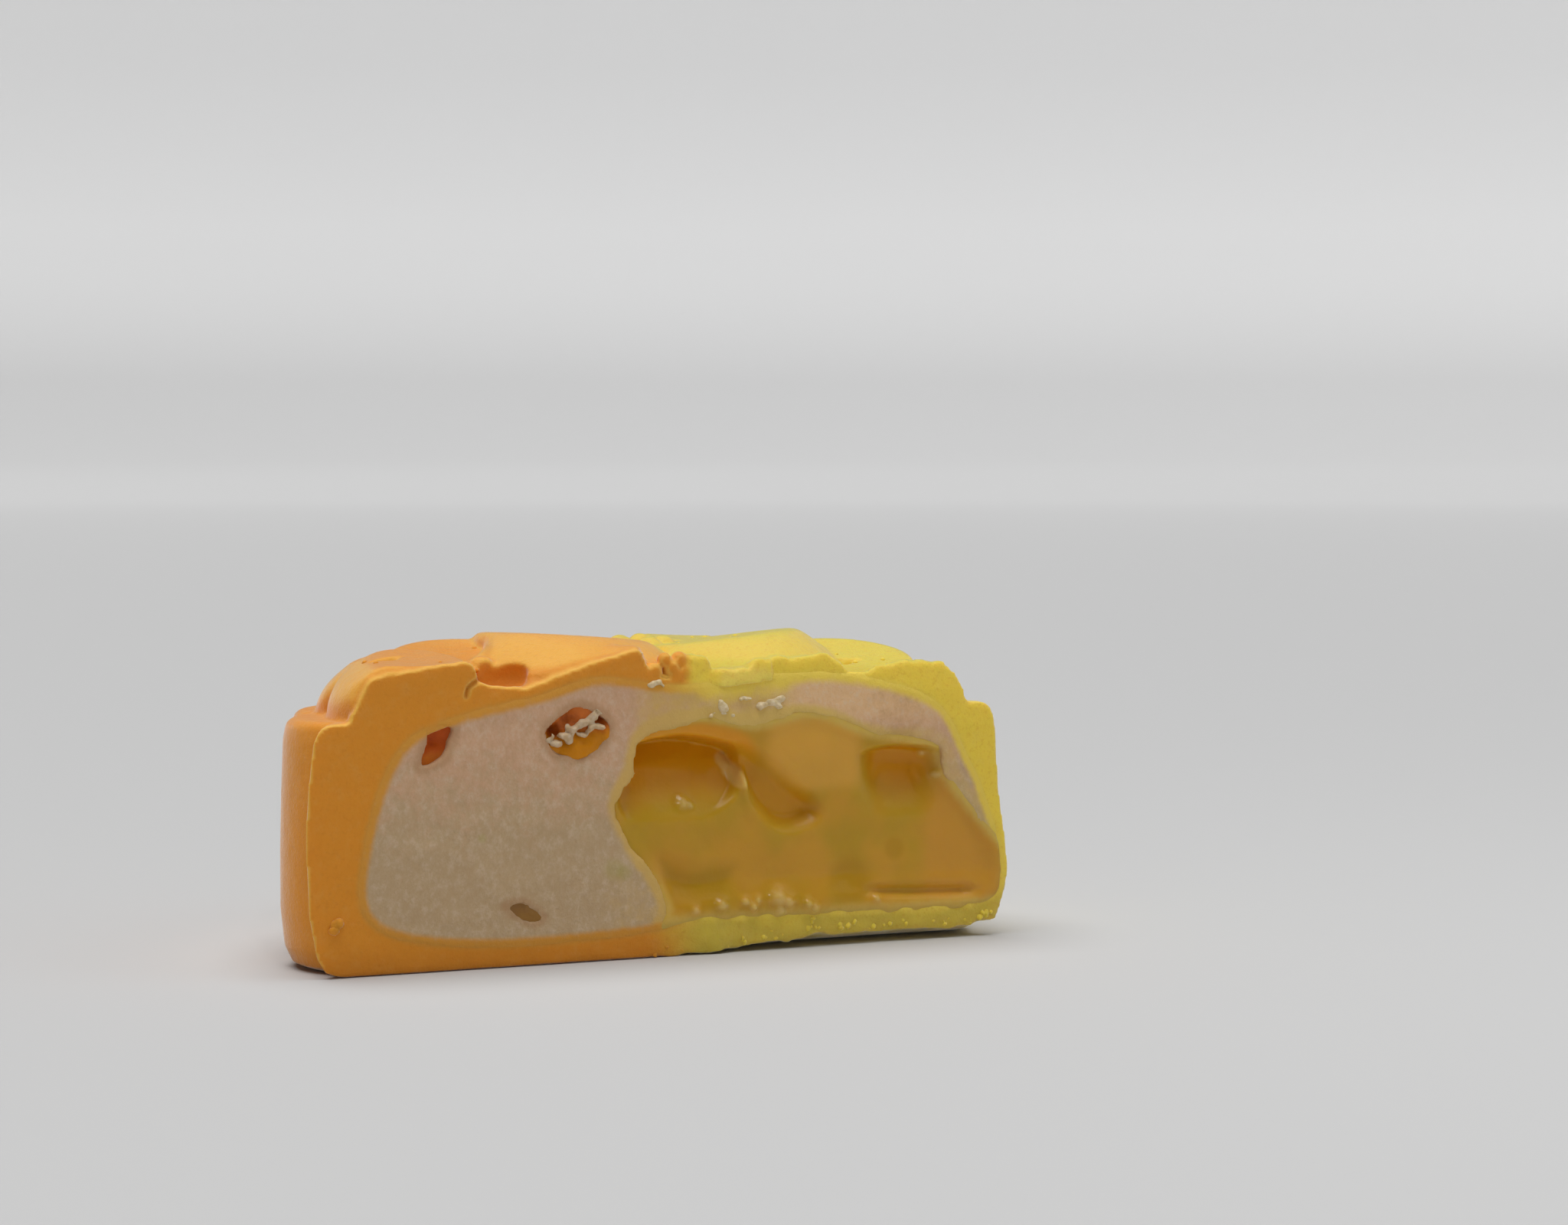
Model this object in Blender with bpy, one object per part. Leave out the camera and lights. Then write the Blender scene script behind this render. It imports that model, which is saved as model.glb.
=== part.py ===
"""Cut half of a moulded snow-skin mooncake with a mango and pomelo filling.

The half lies on its flat base. The origin is on the round cake's axis, at the base.
X runs along the cut, Y goes from the cut into the half, and Z is up.
The skin is one solid with the moulded flowers on top. The white paste sits in its pocket,
the mango custard sits in the paste, and three pieces of fruit sit in the paste's cut face.
"""

import math
from dataclasses import dataclass

import bmesh
import bpy
from mathutils import Matrix, Vector

MM = 0.001

# Round body, in millimetres
LOBES = 16
CREST_RADIUS = 39.6
NOTCH_RADIUS = 37.2
CUT_Y = -2.5
CUT_LIP = 0.7
POINTS_PER_LOBE = 8
WALL_PROFILE = ((0.0, -2.6), (0.6, -1.2), (2.2, -0.3), (6.0, 0.2), (12.0, 0.15), (18.0, 0.0),
                (23.2, -0.3), (24.8, -0.9), (25.4, -2.0))

# Low bed under the flowers: radius and height
BED_PROFILE = ((35.6, 24.6), (34.6, 25.8), (31.0, 27.0), (24.0, 28.2), (8.0, 28.9))
BED_SKIN = 1.4
BED_POINTS = 40

# Rounded crown that no petal rises above: radius, height at the rim and on the axis, fullness
CROWN_RADIUS = 36.9
CROWN_RIM = 25.8
CROWN_TOP = 33.8
CROWN_SQUARENESS = 6.0
CROWN_FULLNESS = 0.6

# Petals
PETAL_FOOT = 23.8
PETAL_POINTS = 24
PETAL_TAPER = 0.12
PETAL_DISH = 0.5
PETAL_SHOULDER = ((1.06, None), (1.0, -1.8), (0.95, -0.65), (0.85, -0.05), (0.5, 0.0))
VEIN_WIDTH = 0.9
VEIN_DEPTH = 0.9
VEIN_STATIONS = (0.03, 0.26, 0.5, 0.74, 0.97)
VEIN_CLEAR = 1.0

# Fillings
GAP = 0.3
SKIN_LEAST = 1.7
PASTE_DEPTH = 33.5
PASTE_CENTRE = (1.0, 15.0)
CUSTARD_DEPTH = 24.0
CUSTARD_LEAST = -2.0
CUSTARD_CENTRE = (18.0, 14.0)
DOME_FULLNESS = 2.3
DOME_END = 0.985
ROOF_START = 1.0
DOME_STEPS = (0.0, 1.2, 2.5, 5.0, 9.0, 13.5, 18.0, 22.5, 26.5, 30.0, 32.3)

OUTLINE_STEPS = 3

# Bends of the fillings' outlines at the cut, anticlockwise as x and z
PASTE_BENDS = (
    (-24.3, 24.8), (-29.6, 21.8), (-32.8, 13.5), (-32.6, 5.8), (-23.0, 3.1), (-7.0, 3.1),
    (9.0, 4.3), (33.5, 3.9), (37.9, 6.2), (35.4, 14.4), (30.4, 25.0), (22.0, 27.8),
    (12.5, 28.3), (1.0, 27.4), (-8.0, 28.5), (-14.5, 26.9))
CUSTARD_BENDS = (
    (-2.6, 23.0), (-6.4, 16.6), (-2.2, 8.8), (-0.6, 1.6), (20.0, 1.4), (38.6, 1.6), (41.0, 8.0),
    (36.6, 14.6), (30.6, 20.6), (23.0, 22.4), (16.5, 24.6), (9.6, 23.6), (3.2, 24.3))

# Hollows in the custard's cut face: centre x, y and z, then half sizes
CUSTARD_HOLLOWS = ((2.2, CUT_Y, 18.8, 5.6, 5.5, 3.0), (27.0, CUT_Y, 16.6, 4.4, 5.0, 3.4))

# Colours of the four foods: red, green and blue
SKIN_COLOUR = (0.80, 0.42, 0.08)
PASTE_COLOUR = (0.62, 0.48, 0.36)
CUSTARD_COLOUR = (0.66, 0.42, 0.06)
FRUIT_COLOUR = (0.75, 0.22, 0.02)


@dataclass(frozen=True)
class Petal:
    """One moulded petal: a dished oval button that slopes down to its flower's centre."""

    x: float
    y: float
    across: float
    along: float
    heading: float
    outer_height: float
    inner_height: float
    vein: tuple


PETALS = (
    Petal(-28.5, 1.5, 7.3, 8.2, 95.0, 32.4, 30.8, (-31.2, 3.4, -27.0, 5.0)),
    Petal(-27.6, 11.4, 5.6, 6.2, 158.0, 31.6, 30.8, (-30.4, 12.2, -26.2, 10.6)),
    Petal(-24.4, 18.4, 6.3, 5.9, 144.0, 31.2, 30.2, (-27.2, 19.6, -22.9, 17.6)),
    Petal(-18.6, 7.9, 8.1, 9.0, 80.0, 32.7, 29.8, (-18.8, 3.4, -15.6, 10.2)),
    Petal(-17.5, 24.3, 6.9, 7.5, 134.0, 31.9, 30.0, (-19.7, 26.2, -14.3, 21.6)),
    Petal(-9.3, -7.8, 8.0, 8.2, -30.0, 33.4, 29.2, None),
    Petal(-5.6, 12.6, 9.2, 9.9, 211.0, 33.7, 31.8, (-7.3, 9.8, -2.1, 16.5)),
    Petal(-5.5, 25.6, 3.9, 4.7, 80.0, 31.9, 31.2, (-7.1, 25.6, -4.3, 24.0)),
    Petal(-5.9, 30.0, 6.2, 5.4, 92.0, 31.0, 30.2, (-7.4, 32.0, -6.2, 34.4)),
    Petal(5.2, 27.7, 7.3, 8.8, 84.0, 32.6, 30.4, (4.6, 23.0, 4.8, 31.0)),
    Petal(11.8, 11.5, 7.2, 8.6, -38.0, 33.5, 31.3, (7.9, 13.1, 14.7, 8.1)),
    Petal(11.0, -4.9, 7.4, 9.0, -8.0, 31.3, 29.4, None),
    Petal(15.4, 24.6, 6.9, 7.3, 56.0, 32.9, 31.6, (14.8, 22.7, 19.1, 25.8)),
    Petal(22.2, 3.0, 9.4, 6.8, 80.0, 32.3, 29.5, (18.8, 4.4, 25.6, 3.0)),
    Petal(24.4, 15.8, 6.7, 6.9, 32.0, 31.6, 30.2, (23.1, 15.8, 27.7, 18.1)),
    Petal(28.3, -6.5, 6.2, 6.1, -15.0, 29.5, 30.3, None),
)

STAMEN_COLUMNS = 10
STAMEN_ROWS = 6


@dataclass(frozen=True)
class Stamens:
    """One flower's balls: some on a tilted ring at given angles, and one in the middle."""

    x: float
    y: float
    height: float
    rise: float
    reach: float
    ball: float
    middle: float
    angles: tuple


STAMENS = (
    Stamens(-17.0, 4.1, 30.0, 0.0, 1.5, 1.4, 0.0, (-5.0, 175.0)),
    Stamens(5.2, 17.7, 31.3, 0.0, 2.5, 1.7, 1.4, (-16.0, 56.0, 128.0, 200.0, 272.0)),
    Stamens(-13.4, 19.2, 30.0, 0.0, 2.7, 1.6, 1.6, (47.0, 229.0)),
    Stamens(1.3, -0.2, 29.8, 0.4, 2.1, 1.7, 1.3, (0.0, 72.0, 144.0, 216.0, 288.0)),
)

# Hollow at the first flower's centre: centre x, y and height, then half sizes
FLOWER_HOLLOW = (-18.2, 0.9, 29.6, 3.4, 2.2, 2.4)

# Thin strip of skin that stands at the cut in front of that hollow
STRIP_LEFT = -22.4
STRIP_RIGHT = -12.6
STRIP_THICK = 1.1
STRIP_TOP = 29.0

# Fruit pieces in the paste: name, centre x and z, half sizes along x, y and z, tilt in degrees
FRUIT_SQUARENESS = 0.65
FRUIT_TAPER = 0.08
FRUIT = (
    ("mango_strip", -26.0, 22.2, 1.2, 2.2, 1.8, 24.0),
    ("mango_chunk", -11.1, 24.2, 3.4, 2.8, 2.6, -12.0),
    ("fruit_peel", -16.4, 5.6, 1.7, 1.6, 0.8, -18.0),
)


def clear_scene():
    """Remove every object that the file starts with."""
    for thing in list(bpy.data.objects):
        bpy.data.objects.remove(thing, do_unlink=True)


def material(name, colour, roughness):
    """Return a plain food material."""
    made = bpy.data.materials.new(name)
    made.use_nodes = True
    shader = made.node_tree.nodes["Principled BSDF"]
    shader.inputs["Base Color"].default_value = (*colour, 1.0)
    shader.inputs["Roughness"].default_value = roughness
    shader.inputs["Metallic"].default_value = 0.0
    return made


def add_object(name, mesh_builder):
    """Turn a bmesh in millimetres into a scene object in metres, its faces pointing out."""
    bmesh.ops.recalc_face_normals(mesh_builder, faces=mesh_builder.faces)
    bmesh.ops.scale(mesh_builder, vec=(MM, MM, MM), verts=mesh_builder.verts)
    mesh = bpy.data.meshes.new(name)
    mesh_builder.to_mesh(mesh)
    mesh_builder.free()
    thing = bpy.data.objects.new(name, mesh)
    bpy.context.scene.collection.objects.link(thing)
    return thing


def loft(name, rings, tip=None):
    """Join rings of points into a closed solid, its last ring capped or drawn to a tip."""
    shape = bmesh.new()
    loops = [[shape.verts.new(point) for point in ring] for ring in rings]
    count = len(loops[0])
    for lower, upper in zip(loops, loops[1:]):
        for index in range(count):
            after = (index + 1) % count
            shape.faces.new((lower[index], lower[after], upper[after], upper[index]))
    shape.faces.new(loops[0])
    if tip is None:
        shape.faces.new(loops[-1])
    else:
        peak = shape.verts.new(tip)
        for index in range(count):
            shape.faces.new((loops[-1][index], loops[-1][(index + 1) % count], peak))
    return add_object(name, shape)


def combine(base, others, operation, solver="EXACT"):
    """Apply one Boolean of a collection of objects to the base, then remove those objects."""
    group = bpy.data.collections.new("operands")
    bpy.context.scene.collection.children.link(group)
    for other in others:
        group.objects.link(other)
    step = base.modifiers.new("combine", "BOOLEAN")
    step.operand_type = "COLLECTION"
    step.collection = group
    step.operation = operation
    step.solver = solver
    result = bpy.data.meshes.new_from_object(base.evaluated_get(bpy.context.evaluated_depsgraph_get()))
    base.modifiers.remove(step)
    base.data = result
    for other in others:
        bpy.data.objects.remove(other, do_unlink=True)
    bpy.data.collections.remove(group)
    return base


def scallop_radius(angle):
    """Return the outer radius of the scalloped wall, whose lobes are arcs, at an angle."""
    lobe = 2.0 * math.pi / LOBES
    half_chord = NOTCH_RADIUS * math.sin(lobe / 2.0)
    rise = CREST_RADIUS - NOTCH_RADIUS * math.cos(lobe / 2.0)
    arc_radius = (half_chord ** 2 + rise ** 2) / (2.0 * rise)
    arc_centre = CREST_RADIUS - arc_radius
    off_middle = (angle % lobe) - lobe / 2.0
    sideways = arc_centre * math.sin(off_middle)
    return arc_centre * math.cos(off_middle) + math.sqrt(arc_radius ** 2 - sideways ** 2)


def wall_ring(height, inset):
    """Return one scalloped ring of the wall, pushed out a little in front of the cut."""
    ring = []
    for index in range(LOBES * POINTS_PER_LOBE):
        angle = 2.0 * math.pi * index / (LOBES * POINTS_PER_LOBE)
        radius = scallop_radius(angle) + inset
        if math.sin(angle) < -0.02:
            radius += CUT_LIP
        ring.append((radius * math.cos(angle), radius * math.sin(angle), height))
    return ring


def body_solid():
    """Return the scalloped cake without its flowers."""
    return loft("snow_skin", [wall_ring(height, inset) for height, inset in WALL_PROFILE])


def bed_solid():
    """Return the low dome between the petals."""
    rings = []
    for radius, height in BED_PROFILE:
        angles = [2.0 * math.pi * index / BED_POINTS for index in range(BED_POINTS)]
        rings.append([(radius * math.cos(angle), radius * math.sin(angle), height) for angle in angles])
    rings.insert(0, [(x, y, PETAL_FOOT) for x, y, _ in rings[0]])
    return loft("bed", rings)


def crown_height(x, y):
    """Return the height of the rounded crown over a point in plan."""
    share = min(1.0, math.hypot(x, y) / CROWN_RADIUS)
    rise = (1.0 - share ** CROWN_SQUARENESS) ** CROWN_FULLNESS
    return CROWN_RIM + (CROWN_TOP - CROWN_RIM) * rise


def petal_height(petal, x, y):
    """Return the height of a petal's dished top over a point in plan."""
    heading = math.radians(petal.heading)
    along = ((x - petal.x) * math.cos(heading) + (y - petal.y) * math.sin(heading)) / petal.along
    across = ((y - petal.y) * math.cos(heading) - (x - petal.x) * math.sin(heading)) / petal.across
    slope = (min(along, 1.0) + 1.0) / 2.0
    height = petal.inner_height + (petal.outer_height - petal.inner_height) * slope
    height -= PETAL_DISH * max(0.0, 1.0 - along * along - across * across)
    return min(height, crown_height(x, y))


def petal_point(petal, angle, scale):
    """Return a petal's plan point and its top height, at an angle round it and a scale."""
    along = petal.along * math.cos(angle) * scale
    across = petal.across * math.sin(angle) * scale * (1.0 + PETAL_TAPER * math.cos(angle))
    heading = math.radians(petal.heading)
    x = petal.x + along * math.cos(heading) - across * math.sin(heading)
    y = petal.y + along * math.sin(heading) + across * math.cos(heading)
    return x, y, petal_height(petal, x, y)


def petal_solid(petal):
    """Return one petal as a lofted button."""
    rings = []
    for scale, drop in PETAL_SHOULDER:
        ring = []
        for index in range(PETAL_POINTS):
            x, y, height = petal_point(petal, 2.0 * math.pi * index / PETAL_POINTS, scale)
            ring.append((x, y, PETAL_FOOT if drop is None else height + drop))
        rings.append(ring)
    return loft("petal", rings, tip=petal_point(petal, 0.0, 0.0))


def vein_cutter(petal):
    """Return the thin boat-shaped wedge that carves a petal's vein along its surface."""
    start = Vector(petal.vein[:2])
    end = Vector(petal.vein[2:])
    side = Vector((start.y - end.y, end.x - start.x)).normalized()
    rings = []
    for station in VEIN_STATIONS:
        point = start.lerp(end, station)
        swell = math.sin(math.pi * station)
        surface = petal_height(petal, point.x, point.y)
        half = side * VEIN_WIDTH / 2.0 * swell * (1.0 + VEIN_CLEAR / VEIN_DEPTH)
        high = surface + VEIN_CLEAR * swell
        left = point + half
        right = point - half
        rings.append([(left.x, left.y, high), (right.x, right.y, high),
                      (point.x, point.y, surface - VEIN_DEPTH * swell)])
    return loft("vein", rings)


def ball(x, y, height, radius):
    """Return one stamen ball."""
    shape = bmesh.new()
    bmesh.ops.create_uvsphere(shape, u_segments=STAMEN_COLUMNS, v_segments=STAMEN_ROWS, radius=radius)
    bmesh.ops.translate(shape, vec=(x, y, height), verts=shape.verts)
    return add_object("stamen", shape)


def stamen_balls(stamens):
    """Return the balls of one flower."""
    balls = []
    for angle in stamens.angles:
        aside = stamens.reach * math.cos(math.radians(angle))
        behind = stamens.reach * math.sin(math.radians(angle))
        height = stamens.height + stamens.rise * behind
        balls.append(ball(stamens.x + aside, stamens.y + behind, height, stamens.ball))
    if stamens.middle:
        balls.append(ball(stamens.x, stamens.y, stamens.height + stamens.middle / 3.0, stamens.middle))
    return balls


def strip_solid():
    """Return the thin upright strip in front of the first flower's centre."""
    size = (STRIP_RIGHT - STRIP_LEFT, 2.0 * STRIP_THICK, STRIP_TOP - PETAL_FOOT)
    shape = bmesh.new()
    bmesh.ops.create_cube(shape, size=1.0)
    bmesh.ops.scale(shape, vec=size, verts=shape.verts)
    centre = ((STRIP_LEFT + STRIP_RIGHT) / 2.0, CUT_Y, (STRIP_TOP + PETAL_FOOT) / 2.0)
    bmesh.ops.translate(shape, vec=centre, verts=shape.verts)
    return add_object("strip", shape)


def knife():
    """Return the block that cuts the front of the cake away."""
    shape = bmesh.new()
    bmesh.ops.create_cube(shape, size=1.0)
    size = 3.0 * CREST_RADIUS
    bmesh.ops.scale(shape, vec=(size, size, size), verts=shape.verts)
    bmesh.ops.translate(shape, vec=(0.0, CUT_Y - size / 2.0, 0.0), verts=shape.verts)
    return add_object("knife", shape)


def bed_height(radius):
    """Return the height of the bed between the petals at a distance from the axis."""
    for outer, inner in zip(BED_PROFILE, BED_PROFILE[1:]):
        if radius >= inner[0]:
            share = min(1.0, (outer[0] - radius) / (outer[0] - inner[0]))
            return outer[1] + (inner[1] - outer[1]) * max(0.0, share)
    return BED_PROFILE[-1][1]


def smooth_outline(bends):
    """Return a closed smooth curve through the bends, with a few points for each."""
    count = len(bends)
    curve = []
    for index in range(count):
        before, start, end, after = [Vector(bends[(index + step) % count]) for step in (-1, 0, 1, 2)]
        for step in range(OUTLINE_STEPS):
            part = step / OUTLINE_STEPS
            bow = (2.0 * before - 5.0 * start + 4.0 * end - after) * part
            turn = (3.0 * start - before - 3.0 * end + after) * part * part
            point = start + (end - before + bow + turn) * part / 2.0
            curve.append((point.x, point.y))
    return curve


def grow(outline, distance):
    """Return a counter-clockwise outline moved outwards by a distance."""
    moved = []
    for index, (x, z) in enumerate(outline):
        before = outline[index - 1]
        after = outline[(index + 1) % len(outline)]
        run = Vector((after[0] - before[0], after[1] - before[1])).normalized()
        moved.append((x + run.y * distance, z - run.x * distance))
    return moved


def dome_rings(bends, centre, depth, least, grown, front):
    """Return the rings of a rounded filling that starts at the cut and closes behind it."""
    edge = grow(smooth_outline(bends), grown)
    rings = []
    for step in DOME_STEPS:
        into = step / DOME_STEPS[-1] * (depth + grown) * DOME_END
        scale = (1.0 - (into / (depth + grown)) ** DOME_FULLNESS) ** (1.0 / DOME_FULLNESS)
        y = CUT_Y + into
        ring = []
        for x, z in edge:
            moved_x = centre[0] + (x - centre[0]) * scale
            limit = scallop_radius(math.atan2(y, moved_x)) - least + grown
            reach = math.hypot(moved_x, y)
            if reach > limit:
                moved_x *= limit / reach
            moved_z = centre[1] + (z - centre[1]) * scale
            if into >= ROOF_START:
                moved_z = min(moved_z, bed_height(math.hypot(moved_x, y)) - BED_SKIN + grown)
            ring.append((moved_x, y, moved_z))
        rings.append(ring)
    if front:
        rings.insert(0, [(x, CUT_Y - front, z) for x, _, z in rings[0]])
    return rings


def paste_dome(name, grown, front=0.0):
    """Return the space that paste and custard fill together, grown by a distance."""
    return loft(name, dome_rings(PASTE_BENDS, PASTE_CENTRE, PASTE_DEPTH, SKIN_LEAST, grown, front))


def custard_dome(name, grown, front=0.0):
    """Return the space that the custard would fill if no skin stood in its way."""
    rings = dome_rings(CUSTARD_BENDS, CUSTARD_CENTRE, CUSTARD_DEPTH, CUSTARD_LEAST, grown, front)
    return loft(name, rings)


def fruit_solid(name, piece, grown, front):
    """Return one piece of fruit: a small tilted chunk with worn corners, cut flat in front."""
    _, x, z, half_x, half_y, half_z, tilt = piece
    shape = bmesh.new()
    bmesh.ops.create_icosphere(shape, subdivisions=2, radius=1.0)
    for corner in shape.verts:
        squared = [math.copysign(abs(value) ** FRUIT_SQUARENESS, value) for value in corner.co]
        corner.co = Vector(squared) * (1.0 + FRUIT_TAPER * corner.co.z)
    size = (half_x + grown, half_y + grown, half_z + grown)
    bmesh.ops.scale(shape, vec=size, verts=shape.verts)
    turn = Matrix.Rotation(math.radians(tilt), 4, "Y")
    bmesh.ops.transform(shape, matrix=Matrix.Translation((x, CUT_Y, z)) @ turn, verts=shape.verts)
    if not front:
        parts = shape.verts[:] + shape.edges[:] + shape.faces[:]
        bmesh.ops.bisect_plane(shape, geom=parts, clear_outer=True, plane_co=(0.0, CUT_Y, 0.0),
                               plane_no=(0.0, -1.0, 0.0))
        rim = [edge for edge in shape.edges if edge.is_boundary]
        bmesh.ops.contextual_create(shape, geom=rim)
    return add_object(name, shape)


def scoop(x, y, z, half_x, half_y, half_z):
    """Return the smooth egg that scoops one hollow."""
    shape = bmesh.new()
    bmesh.ops.create_uvsphere(shape, u_segments=16, v_segments=10, radius=1.0)
    bmesh.ops.scale(shape, vec=(half_x, half_y, half_z), verts=shape.verts)
    bmesh.ops.translate(shape, vec=(x, y, z), verts=shape.verts)
    return add_object("hollow", shape)


def make_skin():
    """Model the moulded skin with its flowers, cut face and pocket."""
    skin = body_solid()
    flowers = [bed_solid()] + [petal_solid(petal) for petal in PETALS]
    for stamens in STAMENS:
        flowers += stamen_balls(stamens)
    flowers.append(strip_solid())
    combine(skin, flowers, "UNION")
    combine(skin, [scoop(*FLOWER_HOLLOW)], "DIFFERENCE")
    combine(skin, [vein_cutter(petal) for petal in PETALS if petal.vein], "DIFFERENCE")
    combine(skin, [knife()], "DIFFERENCE")
    combine(skin, [paste_dome("pocket", 0.0, front=2.0)], "DIFFERENCE")
    return skin


def make_paste():
    """Model the white paste with the spaces for the custard and the fruit."""
    paste = paste_dome("white_paste", -GAP)
    combine(paste, [custard_dome("space", GAP, front=2.0)], "DIFFERENCE")
    combine(paste, [fruit_solid("space", piece, GAP, True) for piece in FRUIT], "DIFFERENCE")
    return paste


def make_custard():
    """Model the mango custard with its two hollows."""
    custard = custard_dome("mango_custard", 0.0)
    combine(custard, [paste_dome("limit", -GAP, front=2.0)], "INTERSECT")
    combine(custard, [scoop(*hollow) for hollow in CUSTARD_HOLLOWS], "DIFFERENCE")
    return custard


def finish(thing, look):
    """Give an object its material and smooth shading with its sharp edges kept."""
    thing.data.materials.clear()
    thing.data.materials.append(look)
    thing.data.shade_smooth()
    thing.data.set_sharp_from_angle(angle=math.radians(35.0))


def main():
    """Model the half mooncake."""
    clear_scene()
    finish(make_skin(), material("skin", SKIN_COLOUR, 0.6))
    finish(make_paste(), material("paste", PASTE_COLOUR, 0.55))
    finish(make_custard(), material("custard", CUSTARD_COLOUR, 0.25))
    fruit_look = material("fruit", FRUIT_COLOUR, 0.35)
    for piece in FRUIT:
        finish(fruit_solid(piece[0], piece, 0.0, False), fruit_look)


if __name__ == "__main__":
    main()
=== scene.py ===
"""Looks of a cut half of a moulded snow-skin mooncake with mango custard and pomelo paste.

Every food is worked out as a field of distances in millimetres: the scalloped wall, the
moulded flowers, the knife's cut and the fillings. A net drawn over the field's zero level
gives its mesh. Small repeated things, such as the dots that the mould leaves on the petals,
come from Geometry Nodes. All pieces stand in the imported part's frame.
"""

import logging
import math
from collections.abc import Sequence
from dataclasses import dataclass
from enum import Enum
from typing import Any, Protocol

import bpy
import numpy as np
from mathutils import Euler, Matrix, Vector


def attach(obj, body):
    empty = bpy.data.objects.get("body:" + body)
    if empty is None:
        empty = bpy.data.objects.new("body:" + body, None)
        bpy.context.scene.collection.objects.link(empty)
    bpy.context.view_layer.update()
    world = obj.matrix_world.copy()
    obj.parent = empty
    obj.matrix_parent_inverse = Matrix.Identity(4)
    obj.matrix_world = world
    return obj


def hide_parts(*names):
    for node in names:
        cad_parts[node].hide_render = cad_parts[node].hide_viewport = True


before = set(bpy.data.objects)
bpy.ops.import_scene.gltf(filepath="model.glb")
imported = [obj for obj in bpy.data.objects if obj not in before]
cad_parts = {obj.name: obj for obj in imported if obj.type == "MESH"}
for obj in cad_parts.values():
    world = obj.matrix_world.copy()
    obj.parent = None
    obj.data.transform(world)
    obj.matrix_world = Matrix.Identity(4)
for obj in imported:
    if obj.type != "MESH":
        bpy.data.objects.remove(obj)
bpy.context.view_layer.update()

logging.basicConfig(level=logging.INFO, format="%(message)s")
log = logging.getLogger("mooncake")

MM = 0.001  # metres in a millimetre
CUT_Y = -2.5  # the knife's plane along Y, in millimetres
SEAM_TURN = (-3.0, 6.0)  # places along X between which a seam's left colour turns into its right
FAR = 9.0  # distance of a place that no shape is near, in millimetres
QUICK_STEP, FULL_STEP = 0.45, 0.3  # spacing of the samples, in millimetres
Array = np.ndarray
Colour = tuple[float, float, float]
Place = tuple[float, float, float]
Point = tuple[float, float]
Ball = tuple[float, float, float, float]


class Slot(Enum):
    """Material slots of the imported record."""

    SKIN = "skin"
    PASTE = "paste"
    CUSTARD = "custard"
    FRUIT = "fruit"


def smooth_max(first: Array, second: Array, reach: float) -> Array:
    """Return the larger of two fields with its crease rounded.

    Args:
        first: One field of distances.
        second: The other field.
        reach: Width of the rounding, in millimetres.

    Returns:
        The joined field.
    """
    near = np.maximum(reach - np.abs(first - second), 0.0) / reach
    return np.maximum(first, second) + near * near * reach / 4.0


def smooth_min(first: Array, second: Array, reach: float) -> Array:
    """Return the smaller of two fields with its crease rounded."""
    return -smooth_max(-first, -second, reach)


def fade(value: Array, low: float, high: float) -> Array:
    """Return a smooth step that is 0 at low and 1 at high.

    Args:
        value: Where the step is read.
        low: Value at which the step starts, which may be above high.
        high: Value at which the step ends.

    Returns:
        The step, between 0 and 1.
    """
    share = np.clip((value - low) / (high - low), 0.0, 1.0)
    return share * share * (3.0 - 2.0 * share)


class Noise:
    """Smooth seeded noise between about -1 and 1."""

    SIZE = 48
    SHIFT = 7.31

    def __init__(self, seed: int) -> None:
        """Draw the random lattice from a seed."""
        self.lattice = np.random.default_rng(seed).uniform(-1.0, 1.0, (self.SIZE,) * 3)

    def single(self, x: Array, y: Array, z: Array, size: float) -> Array:
        """Return one layer of noise.

        Args:
            x: Places along X, in millimetres.
            y: Places along Y.
            z: Places along Z.
            size: Size of the noise's lumps, in millimetres.

        Returns:
            The noise at each place.
        """
        places = [np.asarray(value, float) / size for value in np.broadcast_arrays(x, y, z)]
        cells = [np.floor(place).astype(int) for place in places]
        parts = [place - cell for place, cell in zip(places, cells)]
        parts = [part * part * (3.0 - 2.0 * part) for part in parts]
        total = np.zeros(places[0].shape)
        for corner in range(8):
            weight = np.ones(places[0].shape)
            index = []
            for axis in range(3):
                far = (corner >> axis) & 1
                weight = weight * (parts[axis] if far else 1.0 - parts[axis])
                index.append((cells[axis] + far) % self.SIZE)
            total += weight * self.lattice[tuple(index)]
        return total

    def layered(self, x: Array, y: Array, z: Array, size: float, layers: int = 3) -> Array:
        """Return several layers of noise, each half as large and half as strong as the last.

        Args:
            x: Places along X, in millimetres.
            y: Places along Y.
            z: Places along Z.
            size: Size of the largest lumps, in millimetres.
            layers: How many layers are added up.

        Returns:
            The noise at each place.
        """
        total = 0.0
        for layer in range(layers):
            shift, part = self.SHIFT * layer, 2 ** layer
            total = total + self.single(x + shift, y + shift, z - shift, size / part) / part
        return total


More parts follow.
